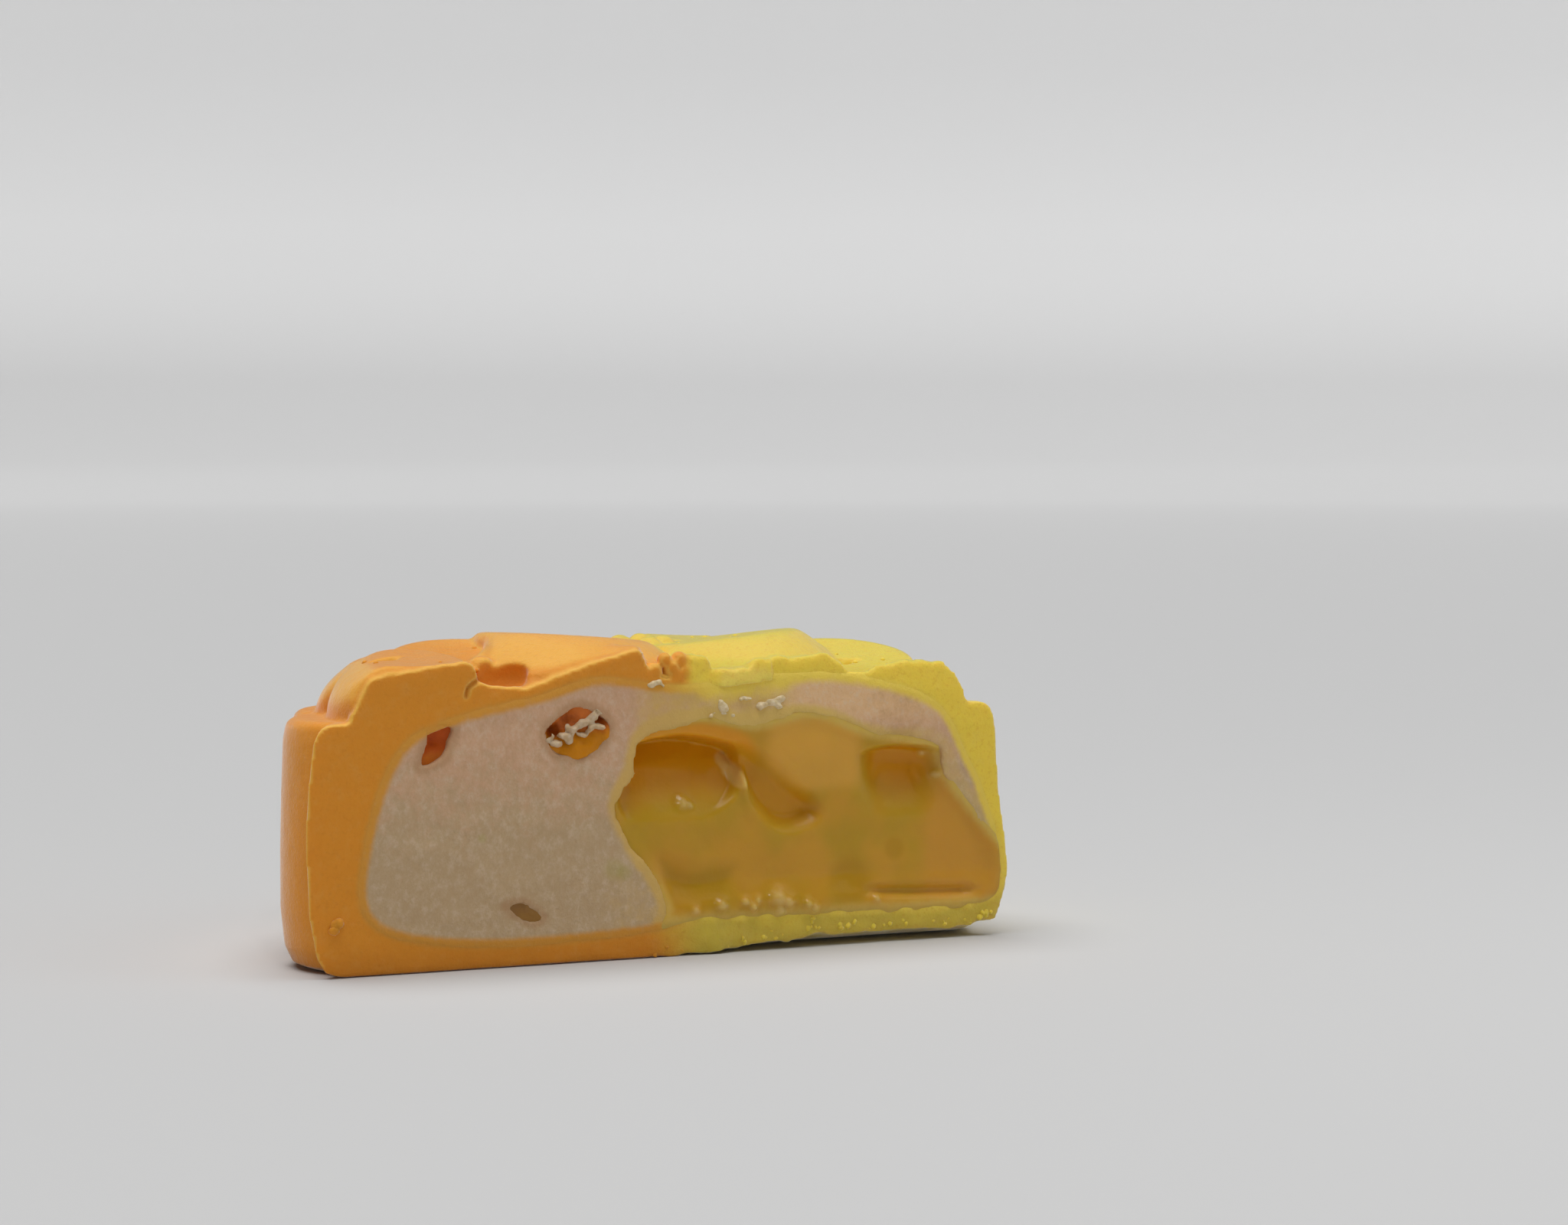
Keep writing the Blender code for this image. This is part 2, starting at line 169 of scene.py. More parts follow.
@dataclass(frozen=True)
class Outline:
    """A closed smooth curve in the plane of the cut, through a few bends in x and z."""

    bends: tuple[Point, ...]
    steps: int = 8
    cell: float = 0.25
    margin: float = 6.0

    def curve(self) -> Array:
        """Work out points along the curve.

        Returns:
            The x and z of each point.
        """
        bends = np.array(self.bends, float)
        before, start = np.roll(bends, 1, axis=0), bends
        end, after = np.roll(bends, -1, axis=0), np.roll(bends, -2, axis=0)
        points = []
        for step in range(self.steps):
            part = step / self.steps
            bow = (2.0 * before - 5.0 * start + 4.0 * end - after) * part
            turn = (3.0 * start - before - 3.0 * end + after) * part * part
            points.append(start + (end - before + bow + turn) * part / 2.0)
        return np.stack(points, axis=1).reshape(-1, 2)

    def exact(self, x: Array, z: Array) -> Array:
        """Return the distance to the curve, negative inside.

        Args:
            x: Places along X, in millimetres.
            z: Places along Z.

        Returns:
            The signed distance at each place.
        """
        curve = self.curve()
        nearest = np.full(np.broadcast(x, z).shape, 1e9)
        inside = np.zeros(nearest.shape, bool)
        for (x0, z0), (x1, z1) in zip(curve, np.roll(curve, -1, axis=0)):
            run_x, run_z = x1 - x0, z1 - z0
            along = ((x - x0) * run_x + (z - z0) * run_z) / (run_x ** 2 + run_z ** 2 + 1e-12)
            along = np.clip(along, 0.0, 1.0)
            away = (x - x0 - along * run_x) ** 2 + (z - z0 - along * run_z) ** 2
            nearest = np.minimum(nearest, away)
            if z0 != z1:
                crossing = x0 + (z - z0) * run_x / run_z
                inside ^= ((z0 > z) != (z1 > z)) & (x < crossing)
        return np.where(inside, -1.0, 1.0) * np.sqrt(nearest)

    def sampler(self) -> "PlaneField":
        """Work the distance out once on a grid, for quick reading.

        Returns:
            The grid of distances.
        """
        bends = np.array(self.bends, float)
        low = bends.min(0) - self.margin
        high = bends.max(0) + self.margin
        x = np.arange(low[0], high[0] + self.cell, self.cell)
        z = np.arange(low[1], high[1] + self.cell, self.cell)
        return PlaneField(low, self.cell, self.exact(x[:, None], z[None, :]))


@dataclass(frozen=True)
class PlaneField:
    """Distances on a grid in x and z that are read between the grid's points."""

    low: Array
    cell: float
    values: Array

    def at(self, x: Array, z: Array) -> Array:
        """Return the distance at places in the plane.

        Args:
            x: Places along X, in millimetres.
            z: Places along Z.

        Returns:
            The distance at each place.
        """
        across = (np.asarray(x) - self.low[0]) / self.cell
        up = (np.asarray(z) - self.low[1]) / self.cell
        across = np.clip(across, 0.0, self.values.shape[0] - 1.001)
        up = np.clip(up, 0.0, self.values.shape[1] - 1.001)
        across, up = np.broadcast_arrays(across, up)
        column, row = across.astype(int), up.astype(int)
        right, above = across - column, up - row
        corner = self.values
        lower = corner[column, row] * (1 - right) + corner[column + 1, row] * right
        upper = corner[column, row + 1] * (1 - right) + corner[column + 1, row + 1] * right
        return lower * (1 - above) + upper * above


@dataclass(frozen=True)
class Block:
    """A box of regular sample points, in millimetres, over which a net is drawn."""

    low: Place
    high: Place
    step: float

    def axes(self) -> tuple[Array, Array, Array]:
        """Return the sample places along X, Y and Z, shaped to combine into the block."""
        x, y, z = (np.arange(low, high + self.step, self.step)
                   for low, high in zip(self.low, self.high))
        return x[:, None, None], y[None, :, None], z[None, None, :]

    def net(self, field: Array) -> tuple[Array, Array]:
        """Draw a net of quads over the level where the field is zero.

        Args:
            field: Distance at every sample point, negative inside the food.

        Returns:
            The net's corners, in millimetres, and the four corners of each quad.
        """
        inside = field < 0.0
        size = inside.shape
        corners = [(bits & 1, bits >> 1 & 1, bits >> 2 & 1) for bits in range(8)]
        count = np.zeros([n - 1 for n in size], np.int8)
        for corner in corners:
            count += inside[tuple(slice(c, c + n - 1) for c, n in zip(corner, size))]
        active = (count > 0) & (count < 8)
        cells = np.argwhere(active)
        numbers = np.full(active.shape, -1, np.int64)
        numbers[active] = np.arange(len(cells))
        values = [field[tuple((cells + corner).T)] for corner in corners]
        total = np.zeros((len(cells), 3))
        crossings = np.zeros(len(cells))
        for first in range(8):
            for bit in (1, 2, 4):
                if first & bit:
                    continue
                here, there = values[first], values[first | bit]
                crossed = (here < 0.0) != (there < 0.0)
                share = np.where(crossed, here / np.where(crossed, here - there, 1.0), 0.0)
                run = np.subtract(corners[first | bit], corners[first])
                total += (np.array(corners[first]) + share[:, None] * run) * crossed[:, None]
                crossings += crossed
        points = np.array(self.low) + self.step * (cells + total / crossings[:, None])
        return points, np.concatenate([self._quads(inside, numbers, axis) for axis in range(3)])

    @staticmethod
    def _quads(inside: Array, numbers: Array, axis: int) -> Array:
        """Return the quads that cross the sample edges along one axis.

        Args:
            inside: True at sample points inside the food.
            numbers: Number of the net's corner in each cell.
            axis: The axis along which the crossed edges run.

        Returns:
            Four corner numbers for each quad, in outward order.
        """
        near = [slice(1, n - 1) for n in inside.shape]
        near[axis] = slice(0, inside.shape[axis] - 1)
        far = list(near)
        far[axis] = slice(1, inside.shape[axis])
        start, end = inside[tuple(near)], inside[tuple(far)]
        edges = np.argwhere(start != end)
        leaving = start[tuple(edges.T)]
        offset = np.ones(3, int)
        offset[axis] = 0
        edges = edges + offset
        side, up = np.eye(3, dtype=int)[(axis + 1) % 3], np.eye(3, dtype=int)[(axis + 2) % 3]
        ring = [edges - side - up, edges - up, edges, edges - side]
        quads = np.stack([numbers[tuple(cell.T)] for cell in ring], axis=1)
        return np.where(leaving[:, None], quads, quads[:, ::-1])


class Value:
    """A shader socket that is used in ordinary expressions."""

    def __init__(self, graph: "Graph", socket: bpy.types.NodeSocket) -> None:
        """Wrap one output socket of a graph."""
        self.graph = graph
        self.socket = socket

    def _math(self, operation: str, first: "Value | float", second: "Value | float") -> "Value":
        """Add a Math node and return its result."""
        return self.graph.node("ShaderNodeMath", {"operation": operation}, {0: first, 1: second})

    def __add__(self, other: "Value | float") -> "Value":
        """Return the sum."""
        return self._math("ADD", self, other)

    __radd__ = __add__

    def __mul__(self, other: "Value | float") -> "Value":
        """Return the product."""
        return self._math("MULTIPLY", self, other)

    __rmul__ = __mul__

    def __sub__(self, other: "Value | float") -> "Value":
        """Return the difference."""
        return self._math("SUBTRACT", self, other)

    def __rsub__(self, other: float) -> "Value":
        """Return a number less this value."""
        return self._math("SUBTRACT", other, self)

    def __pow__(self, other: float) -> "Value":
        """Return this value raised to a power."""
        return self._math("POWER", self, other)

    def fade(self, low: float, high: float) -> "Value":
        """Return a smooth step that is 0 at low and 1 at high."""
        ends = {"Value": self, "From Min": low, "From Max": high}
        return self.graph.node("ShaderNodeMapRange", {"interpolation_type": "SMOOTHSTEP"}, ends)


class Graph:
    """A procedural material that is built from expressions."""

    def __init__(self, name: str) -> None:
        """Start an empty material with an output."""
        self.material = bpy.data.materials.new(name)
        self.material.use_nodes = True
        self.tree = self.material.node_tree
        self.tree.nodes.clear()
        self.place = self.node("ShaderNodeTexCoord", {}, {}, "Object")

    def node(self, kind: str, settings: dict[str, Any], values: dict[Any, Any],
             output: str | int = 0) -> Value:
        """Add one node and return one of its outputs.

        Args:
            kind: Blender's name for the node's type.
            settings: The node's own settings, which are set first.
            values: A number, colour or Value for each named or numbered input.
            output: Name or number of the output that is returned.

        Returns:
            The chosen output.
        """
        made = self.tree.nodes.new(kind)
        for name, setting in settings.items():
            setattr(made, name, setting)
        for name, value in values.items():
            socket = made.inputs[name]
            if isinstance(value, Value):
                self.tree.links.new(value.socket, socket)
            else:
                socket.default_value = value
        return Value(self, made.outputs[output])

    def mix(self, share: Value | float, first: Any, second: Any) -> Value:
        """Blend two colours.

        Args:
            share: How much of the second colour shows.
            first: Colour at 0, as a tuple or a Value.
            second: Colour at 1.

        Returns:
            The blended colour.
        """
        ends = [end if isinstance(end, Value) else (*end, 1.0) for end in (first, second)]
        values = {0: share, 6: ends[0], 7: ends[1]}
        return self.node("ShaderNodeMix", {"data_type": "RGBA"}, values, 2)

    def axis(self, name: str) -> Value:
        """Return one axis of the object's own coordinates, in millimetres."""
        return self.node("ShaderNodeSeparateXYZ", {}, {0: self.place}, name) * (1.0 / MM)

    def noise(self, size: float, detail: float = 2.0, roughness: float = 0.5,
              squeeze: Place = (1.0, 1.0, 1.0)) -> Value:
        """Return noise about 0.5.

        Args:
            size: Size of its lumps, in millimetres.
            detail: How many finer layers are added.
            roughness: How strong the finer layers are.
            squeeze: How much thinner the lumps are along each axis.

        Returns:
            The noise.
        """
        place = self.node("ShaderNodeVectorMath", {"operation": "MULTIPLY"},
                          {0: self.place, 1: squeeze})
        return self.node("ShaderNodeTexNoise", {}, {
            "Vector": place, "Scale": 1.0 / (size * MM), "Detail": detail, "Roughness": roughness})

    def spots(self, places: tuple[Place, ...]) -> Value:
        """Return how near the place is to any of several soft spots on the cut.

        Args:
            places: Each spot's x and z and its radius, in millimetres.

        Returns:
            A value that is 1 in the middle of a spot and 0 outside all of them.
        """
        x, z = self.axis("X"), self.axis("Z")
        total: Value | float = 0.0
        for spot_x, spot_z, size in places:
            away = ((x - spot_x) * (x - spot_x) + (z - spot_z) * (z - spot_z)) ** 0.5
            total = away.fade(size, size * 0.3) + total
        return total

    def attribute(self, name: str) -> Value:
        """Return a number that the mesh stores at each corner."""
        return self.node("ShaderNodeAttribute", {"attribute_name": name}, {}, "Fac")

    def bump(self, height: Value, depth: float, under: Value | None = None) -> Value:
        """Return normals that a height disturbs.

        Args:
            height: The height, of which 1 stands for the full depth.
            depth: The full depth, in millimetres.
            under: Normals that are disturbed already.

        Returns:
            The disturbed normals.
        """
        values = {"Height": height, "Distance": depth * MM, "Strength": 1.0}
        if under is not None:
            values["Normal"] = under
        return self.node("ShaderNodeBump", {}, values)

    def surface(self, values: dict[str, Any]) -> bpy.types.Material:
        """Finish the material with a Principled BSDF.

        Args:
            values: A number, colour or Value for each input of the shader.

        Returns:
            The finished material.
        """
        shader = self.node("ShaderNodeBsdfPrincipled", {}, values)
        output = self.tree.nodes.new("ShaderNodeOutputMaterial")
        self.tree.links.new(shader.socket, output.inputs["Surface"])
        return self.material


class Finish(Protocol):
    """Anything that builds a material."""

    def build(self) -> bpy.types.Material:
        """Return the material."""


def frayed(mask: Value, ragged: Value, amount: float) -> Value:
    """Return a mask that noise about 0 makes stronger and weaker."""
    return mask + ragged * amount * mask


def seam_colour(graph: Graph, x: Value, left: Colour, right: Colour) -> Value:
    """Return a seam's colour, which changes from left to right along the cut."""
    return graph.mix(x.fade(*SEAM_TURN), left, right)


def glow(weight: float, reach: Colour, scale: float) -> dict[str, Any]:
    """Return a shader's inputs for light that shines through food, scaled in millimetres."""
    return {"Subsurface Weight": weight, "Subsurface Radius": reach, "Subsurface Scale": scale * MM}


@dataclass(frozen=True)
class SkinFinish:
    """Soft two-coloured dough: orange on the left, yellow on the right."""

    orange: Colour = (0.80, 0.305, 0.022)
    yellow: Colour = (0.94, 0.68, 0.072)
    # Darker yellow drawn on upward faces: painted shading by facing.
    crown: Colour = (0.71, 0.58, 0.068)
    pale: Colour = (0.88, 0.66, 0.26)
    # Painted highlight along the knife's lip and the petals' rounded edges.
    rim: Colour = (0.95, 0.62, 0.12)
    left_seam: Colour = (0.72, 0.33, 0.050)
    right_seam: Colour = (0.90, 0.65, 0.090)
    wet: Colour = (0.62, 0.47, 0.05)
    frost: Colour = (0.90, 0.74, 0.19)
    # Painted shade for creases, veins, the fold and near the floor; also reused for the dough's own
    # dark specks.
    shade: Colour = (0.60, 0.20, 0.012)
    # Painted shade of the yellow dough in creases and veins.
    shaded_yellow: Colour = (0.56, 0.40, 0.025)
    # Darker olive yellow low on the cut face.
    lower_yellow: Colour = (0.62, 0.46, 0.065)
    # Painted sheen: paler orange on the highest petal tops.
    high: Colour = (0.86, 0.45, 0.08)

    def doughs(self, graph: Graph, x: Value, z: Value) -> tuple[Value, Value]:
        """Lay the two doughs beside each other, darker near the floor: painted shade on the orange,
        a darker olive tone low on the yellow.

        Args:
            graph: The material.
            x: Places along X, in millimetres.
            z: Places along Z.

        Returns:
            How yellow each place is, and its colour.
        """
        wander = graph.noise(9.0, 3.0) - 0.5
        top = z.fade(32.0, 32.9)
        low = z.fade(8.0, 3.0)
        edge = 2.5 - top * 3.6 - z.fade(27.0, 29.0) * 0.8 - low * 1.7 + wander * 5.0
        tight = (x - edge).fade(-0.8, 0.8)
        loose = (x - edge).fade(-4.0, 3.5)
        share = tight * (1.0 - low) + loose * low
        # Upward faces of the yellow dough take the darker crown colour: painted shading by facing.
        yellow = graph.mix(graph.attribute("up"), self.yellow, self.crown)
        colour = graph.mix(share, self.orange, yellow)
        # Painted shade on the orange dough near the floor.
        colour = graph.mix(z.fade(3.2, 0.4) * (1.0 - share) * 0.45, colour, self.shade)
        # The yellow dough turns a darker olive low on the cut face.
        lower_yellow = (z + wander * 6.0).fade(5.8, 2.6) * share * graph.attribute("front")
        return share, graph.mix(lower_yellow * 0.75, colour, self.lower_yellow)

    def cut_marks(self, graph: Graph, colour: Value, x: Value) -> Value:
        """Add a painted highlight along the torn rim at the knife's edge and along the petals'
        edges, the seam round the fillings, the torn slab, and painted shade in the fold.

        Args:
            graph: The material.
            colour: The dough's colour so far.
            x: Places along X, in millimetres.

        Returns:
            The colour with the knife's marks.
        """
        # Painted highlight along the knife's lip and the petals' rounded edges.
        colour = graph.mix(graph.attribute("rim") * 0.55, colour, self.rim)
        ragged = graph.noise(1.1, 3.0, 0.6) - 0.5
        near = frayed(graph.attribute("seam"), ragged, 0.9).fade(0.1, 1.0)
        seam = seam_colour(graph, x, self.left_seam, self.right_seam)
        colour = graph.mix(near * 0.8, colour, seam)
        frost = (graph.attribute("frost") * (1.0 + ragged * 1.2)).fade(0.1, 1.0)
        colour = graph.mix(frost * 0.45, colour, self.frost)
        # Painted shade inside the fold.
        return graph.mix(graph.attribute("crack") * 0.8, colour, self.shade)

    def build(self) -> bpy.types.Material:
        """Mix the dough's colours and its soft grain.

        Returns:
            The dough's material.
        """
        graph = Graph("snow_skin")
        x, z = graph.axis("X"), graph.axis("Z")
        share, colour = self.doughs(graph, x, z)
        blotch = graph.noise(1.3, 4.0, 0.65)
        colour = graph.mix(blotch.fade(0.45, 0.85) * 0.10, colour, self.pale)
        colour = self.cut_marks(graph, colour, x)
        # Painted shade in the low creases between the petals and in the veins.
        carved = graph.attribute("deep") * 0.55 + graph.attribute("vein") * 0.4
        colour = graph.mix(carved, colour, graph.mix(share, self.shade, self.shaded_yellow))
        # Painted sheen: paler orange on the highest orange tops.
        high = z.fade(31.2, 33.2) * x.fade(-25.0, -15.0) * (1.0 - share)
        colour = graph.mix(high * 0.6, colour, self.high)
        # The dough's own random dark specks, which reuse the shade colour.
        speck = graph.noise(0.45, 3.0, 0.75)
        colour = graph.mix(speck.fade(0.5, 0.28) * 0.22, colour, self.shade)
        drip = graph.attribute("wet")
        colour = graph.mix(drip * 0.7, colour, self.wet)
        grain = graph.noise(0.28, 3.0, 0.7)
        coarse = graph.noise(1.5, 3.0, 0.55)
        return graph.surface({
            "Base Color": colour,
            "Roughness": 0.52 + blotch * 0.2 - drip * 0.4,
            "Normal": graph.bump(coarse, 0.12, graph.bump(grain, 0.07)),
            "Specular IOR Level": 0.22,
            "Sheen Weight": 0.65,
            "Sheen Roughness": 0.35,
            **glow(0.2, (1.0, 0.5, 0.14), 1.5),
        })


@dataclass(frozen=True)
class PasteFinish:
    """Powdery white paste, pinkish on the left and yellowish where it nears the custard."""

    white: Colour = (0.57, 0.40, 0.225)
    rosy: Colour = (0.70, 0.42, 0.25)
    bright: Colour = (0.86, 0.545, 0.27)
    grain: Colour = (0.80, 0.65, 0.47)
    yellowish: Colour = (0.74, 0.50, 0.12)
    reddish: Colour = (0.72, 0.46, 0.12)
    brown: Colour = (0.46, 0.24, 0.10)
    left_seam: Colour = (0.74, 0.33, 0.040)
    right_seam: Colour = (0.90, 0.65, 0.090)
    green: Colour = (0.46, 0.38, 0.10)
    green_spots: tuple[Place, ...] = ((-6.6, 9.4, 1.6), (-5.4, 9.0, 1.2), (-21.1, 13.3, 0.7))

    def seeped(self, graph: Graph, colour: Value, x: Value, z: Value, ragged: Value) -> Value:
        """Tint the paste where custard has seeped in: over it, at its foot and round its edge.

        Args:
            graph: The material.
            colour: The paste's colour so far.
            x: Places along X, in millimetres.
            z: Places along Z.
            ragged: Noise about 0 that frays the tint.

        Returns:
            The tinted colour.
        """
        over = x.fade(-6.5, -1.5) * (1.0 - x.fade(11.0, 17.0)) * z.fade(16.0, 23.0)
        foot = x.fade(-13.0, -4.0) * z.fade(14.0, 5.0)
        edge = graph.attribute("rim")
        tint = over * 0.7 + foot * 0.35 + edge + ragged * 0.9 * (over + foot + edge)
        yellowish = graph.mix(x.fade(-2.0, 6.0), self.reddish, self.yellowish)
        return graph.mix(tint.fade(0.1, 1.0) * 0.9, colour, yellowish)

    def build(self) -> bpy.types.Material:
        """Mix the paste's colours and its powdery grain.

        Returns:
            The paste's material.
        """
        graph = Graph("white_paste")
        x, z = graph.axis("X"), graph.axis("Z")
        mottle = graph.noise(2.4, 5.0, 0.68)
        high = (mottle - 0.5) * 1.6 + z.fade(8.0, 26.0)
        colour = graph.mix(high.fade(0.1, 1.1), self.white, self.rosy)
        bright = x.fade(9.0, 14.0) * z.fade(22.0, 25.5)
        colour = graph.mix(bright * 0.8, colour, self.bright)
        fibre = graph.noise(0.7, 4.0, 0.72, (1.0, 1.0, 0.8))
        colour = graph.mix(fibre.fade(0.45, 0.72) * 0.36, colour, self.grain)
        colour = graph.mix(fibre.fade(0.5, 0.3) * 0.16, colour, self.brown)
        ragged = graph.noise(1.3, 4.0, 0.65) - 0.5
        colour = self.seeped(graph, colour, x, z, ragged)
        dry = (mottle - 0.5) * 3.0 + x.fade(21.0, 25.0) * x.fade(32.0, 28.0) * z.fade(19.0, 22.5)
        colour = graph.mix(dry.fade(0.6, 1.5) * 0.4, colour, self.brown)
        colour = graph.mix(graph.spots(self.green_spots) * 0.35, colour, self.green)
        stain = (graph.attribute("stain") * (1.0 + ragged)).fade(0.0, 1.0)
        colour = graph.mix(stain * 0.5, colour, self.brown)
        near = frayed(graph.attribute("seam"), ragged, 0.9).fade(0.1, 1.0)
        seam = seam_colour(graph, x, self.left_seam, self.right_seam)
        colour = graph.mix(near, colour, seam)
        fine = graph.noise(0.25, 4.0, 0.7)
        return graph.surface({
            "Base Color": colour,
            "Roughness": 0.42 + fine * 0.25,
            "Normal": graph.bump(mottle, 0.2, graph.bump(fibre, 0.14, graph.bump(fine, 0.05))),
            "Specular IOR Level": 0.3,
            **glow(0.15, (1.0, 0.7, 0.45), 1.2),
        })


@dataclass(frozen=True)
class CustardFinish:
    """Wet custard: creamy on its bulges, amber and clear in its hollows, with painted shade in the
    hollows and painted highlights on its clear lumps.
    """

    cream: Colour = (0.64, 0.325, 0.024)
    green: Colour = (0.54, 0.315, 0.016)
    # Amber where the surface lies deeper: partly the clear gel's own tone, partly painted shade.
    amber: Colour = (0.68, 0.29, 0.003)
    tan: Colour = (0.66, 0.32, 0.032)
    arch: Colour = (0.76, 0.32, 0.014)
    lobe: Colour = (0.77, 0.40, 0.055)
    shore: Colour = (0.70, 0.45, 0.09)
    # Paler colour of the clear lumps and the smear: partly their own tone, partly painted
    # highlight.
    clear: Colour = (0.76, 0.56, 0.20)
    # Painted shade in the hollows, the trough and the low patch.
    custard_shade: Colour = (0.50, 0.265, 0.008)
    custard_shade_spots: tuple[Place, ...] = (
        (21.0, 6.8, 3.6), (26.4, 9.9, 1.8), (26.6, 18.4, 4.8), (30.5, 19.4, 2.4))
    pale_spots: tuple[Place, ...] = ((7.3, 20.0, 1.2), (7.9, 18.9, 1.4), (8.4, 17.8, 1.2))

    def build(self) -> bpy.types.Material:
        """Mix the custard's colours and its wet gloss.

        Returns:
            The custard's material.
        """
        graph = Graph("mango_custard")
        x, z = graph.axis("X"), graph.axis("Z")
        swirl = graph.noise(6.5, 2.0, 0.45)
        colour = graph.mix(swirl.fade(0.35, 0.65), self.cream, self.green)
        bulge = x.fade(9.0, 13.0) * x.fade(24.0, 20.5) * z.fade(14.5, 18.5)
        bulge = (bulge + (swirl - 0.5) * 0.8).fade(0.2, 1.0)
        colour = graph.mix(bulge * 0.8, colour, self.lobe)
        colour = graph.mix(graph.attribute("facet"), colour, self.tan)
        colour = graph.mix(graph.attribute("arch"), colour, self.arch)
        # Painted shade in the hollows, the trough and the low patch.
        custard_shade = graph.spots(self.custard_shade_spots) + graph.attribute("trough")
        custard_shade = frayed(custard_shade, swirl - 0.5, 0.6).fade(0.0, 1.1)
        colour = graph.mix(custard_shade * 0.7, colour, self.custard_shade)
        ragged = graph.noise(1.2, 4.0, 0.65) - 0.5
        shore = graph.attribute("shore") * (1.0 + ragged * 1.4)
        colour = graph.mix(shore.fade(0.0, 1.0), colour, self.shore)
        # More amber where the surface lies deeper: partly the gel's own tone, partly painted shade.
        deep = graph.attribute("depth") + (swirl - 0.5) * 1.0
        colour = graph.mix(deep.fade(0.7, 3.0), colour, self.amber)
        clear = graph.attribute("clear")
        # Paler on the clear lumps and the smear: partly their own tone, partly painted highlight.
        lit = frayed(graph.spots(self.pale_spots) + clear, ragged, 0.8).fade(0.15, 1.1)
        colour = graph.mix(lit * 0.5, colour, self.clear)
        soft = graph.noise(2.0, 3.0, 0.5)
        return graph.surface({
            "Base Color": colour,
            "Roughness": 0.26 + soft * 0.2 - clear * 0.2,
            "Normal": graph.bump(soft, 0.12),
            "Specular IOR Level": 0.22,
            "Coat Weight": 0.10 + clear * 0.5,
            "Coat Roughness": 0.06,
            **glow(0.35, (1.0, 0.5, 0.08), 2.5),
        })


@dataclass(frozen=True)
class FruitFinish:
    """Moist fruit whose flesh darkens in its dents, as painted shade, and along its fibres."""

    name: str
    flesh: Colour
    dark: Colour
    low: Colour
    split: float
    roughness: float = 0.28

    def build(self) -> bpy.types.Material:
        """Mix the flesh, painted shade in its dents and its lower part.

        Returns:
            The fruit's material.
        """
        graph = Graph(self.name)
        fibre = graph.noise(0.9, 4.0, 0.6)
        # Darker along the fibres, and painted shade in the dents.
        share = ((fibre - 0.5) * 1.6 + graph.attribute("depth")).fade(0.1, 1.0)
        lower = (graph.axis("Z") - fibre * 1.2).fade(self.split + 0.1, self.split - 1.1)
        return graph.surface({
            "Base Color": graph.mix(share, graph.mix(lower, self.flesh, self.low), self.dark),
            "Roughness": self.roughness + fibre * 0.2,
            "Normal": graph.bump(fibre, 0.12),
            "Specular IOR Level": 0.12,
            "Coat Weight": 0.05,
            **glow(0.15, (1.0, 0.4, 0.1), 1.0),
        })


@dataclass(frozen=True)
class CrumbFinish:
    """One plain crumbly food, a little uneven in colour."""

    name: str
    light: Colour
    dark: Colour
    roughness: float = 0.5

    def build(self) -> bpy.types.Material:
        """Mix the two shades.

        Returns:
            The crumbs' material.
        """
        graph = Graph(self.name)
        mottle = graph.noise(0.5, 3.0, 0.6)
        return graph.surface({
            "Base Color": graph.mix(mottle.fade(0.3, 0.7), self.light, self.dark),
            "Roughness": self.roughness + mottle * 0.15,
            "Normal": graph.bump(mottle, 0.05),
            **glow(0.2, (1.0, 0.7, 0.4), 0.8),
        })


@dataclass(frozen=True)
class Petal:
    """One moulded petal: a dished oval that slopes down to its flower's centre."""

    x: float
    y: float
    across: float
    along: float
    heading: float
    outer: float
    inner: float
    vein: Ball | None = None
    cap: float = 40.0
    skirt: float = 0.0


@dataclass(frozen=True)
class Stamens:
    """One flower's balls: some on a ring at given angles, and one in the middle."""

    x: float
    y: float
    height: float
    reach: float
    ball: float
    middle: float
    angles: tuple[float, ...]

    def balls(self) -> list[Ball]:
        """Work out the flower's balls.

        Returns:
            The centre and the radius of each ball, in millimetres.
        """
        found = []
        for angle in map(math.radians, self.angles):
            aside, behind = self.reach * math.cos(angle), self.reach * math.sin(angle)
            found.append((self.x + aside, self.y + behind, self.height, self.ball))
        if self.middle:
            found.append((self.x, self.y, self.height + self.middle / 3.0, self.middle))
        return found


def window(x: Array, y: Array, place: Point, reach: float) -> tuple[slice, slice]:
    """Find the sample places near a place in plan.

    Args:
        x: Sample places along X, shaped to combine with the others.
        y: Sample places along Y.
        place: The x and y of the place.
        reach: How far the window reaches on each side of it.

    Returns:
        The slices of the samples along X and Y.
    """
    columns = np.flatnonzero(np.abs(x[:, 0, 0] - place[0]) <= reach)
    rows = np.flatnonzero(np.abs(y[0, :, 0] - place[1]) <= reach)
    return slice(columns[0], columns[-1] + 1), slice(rows[0], rows[-1] + 1)


def join_balls(field: Array, axes: tuple[Array, Array, Array], balls: Sequence[Ball],
               crease: float = 0.4) -> None:
    """Join balls to a field in place.

    Args:
        field: The distances, which change.
        axes: Sample places along X, Y and Z, shaped to combine.
        balls: The centre and the radius of each ball, in millimetres.
        crease: How widely the balls' creases are rounded.
    """
    x, y, z = axes
    for ball_x, ball_y, height, size in balls:
        part = window(x, y, (ball_x, ball_y), size + 1.5)
        away = (x[part[0]] - ball_x) ** 2 + (y[:, part[1]] - ball_y) ** 2 + (z - height) ** 2
        field[part] = smooth_min(field[part], np.sqrt(away) - size, crease)


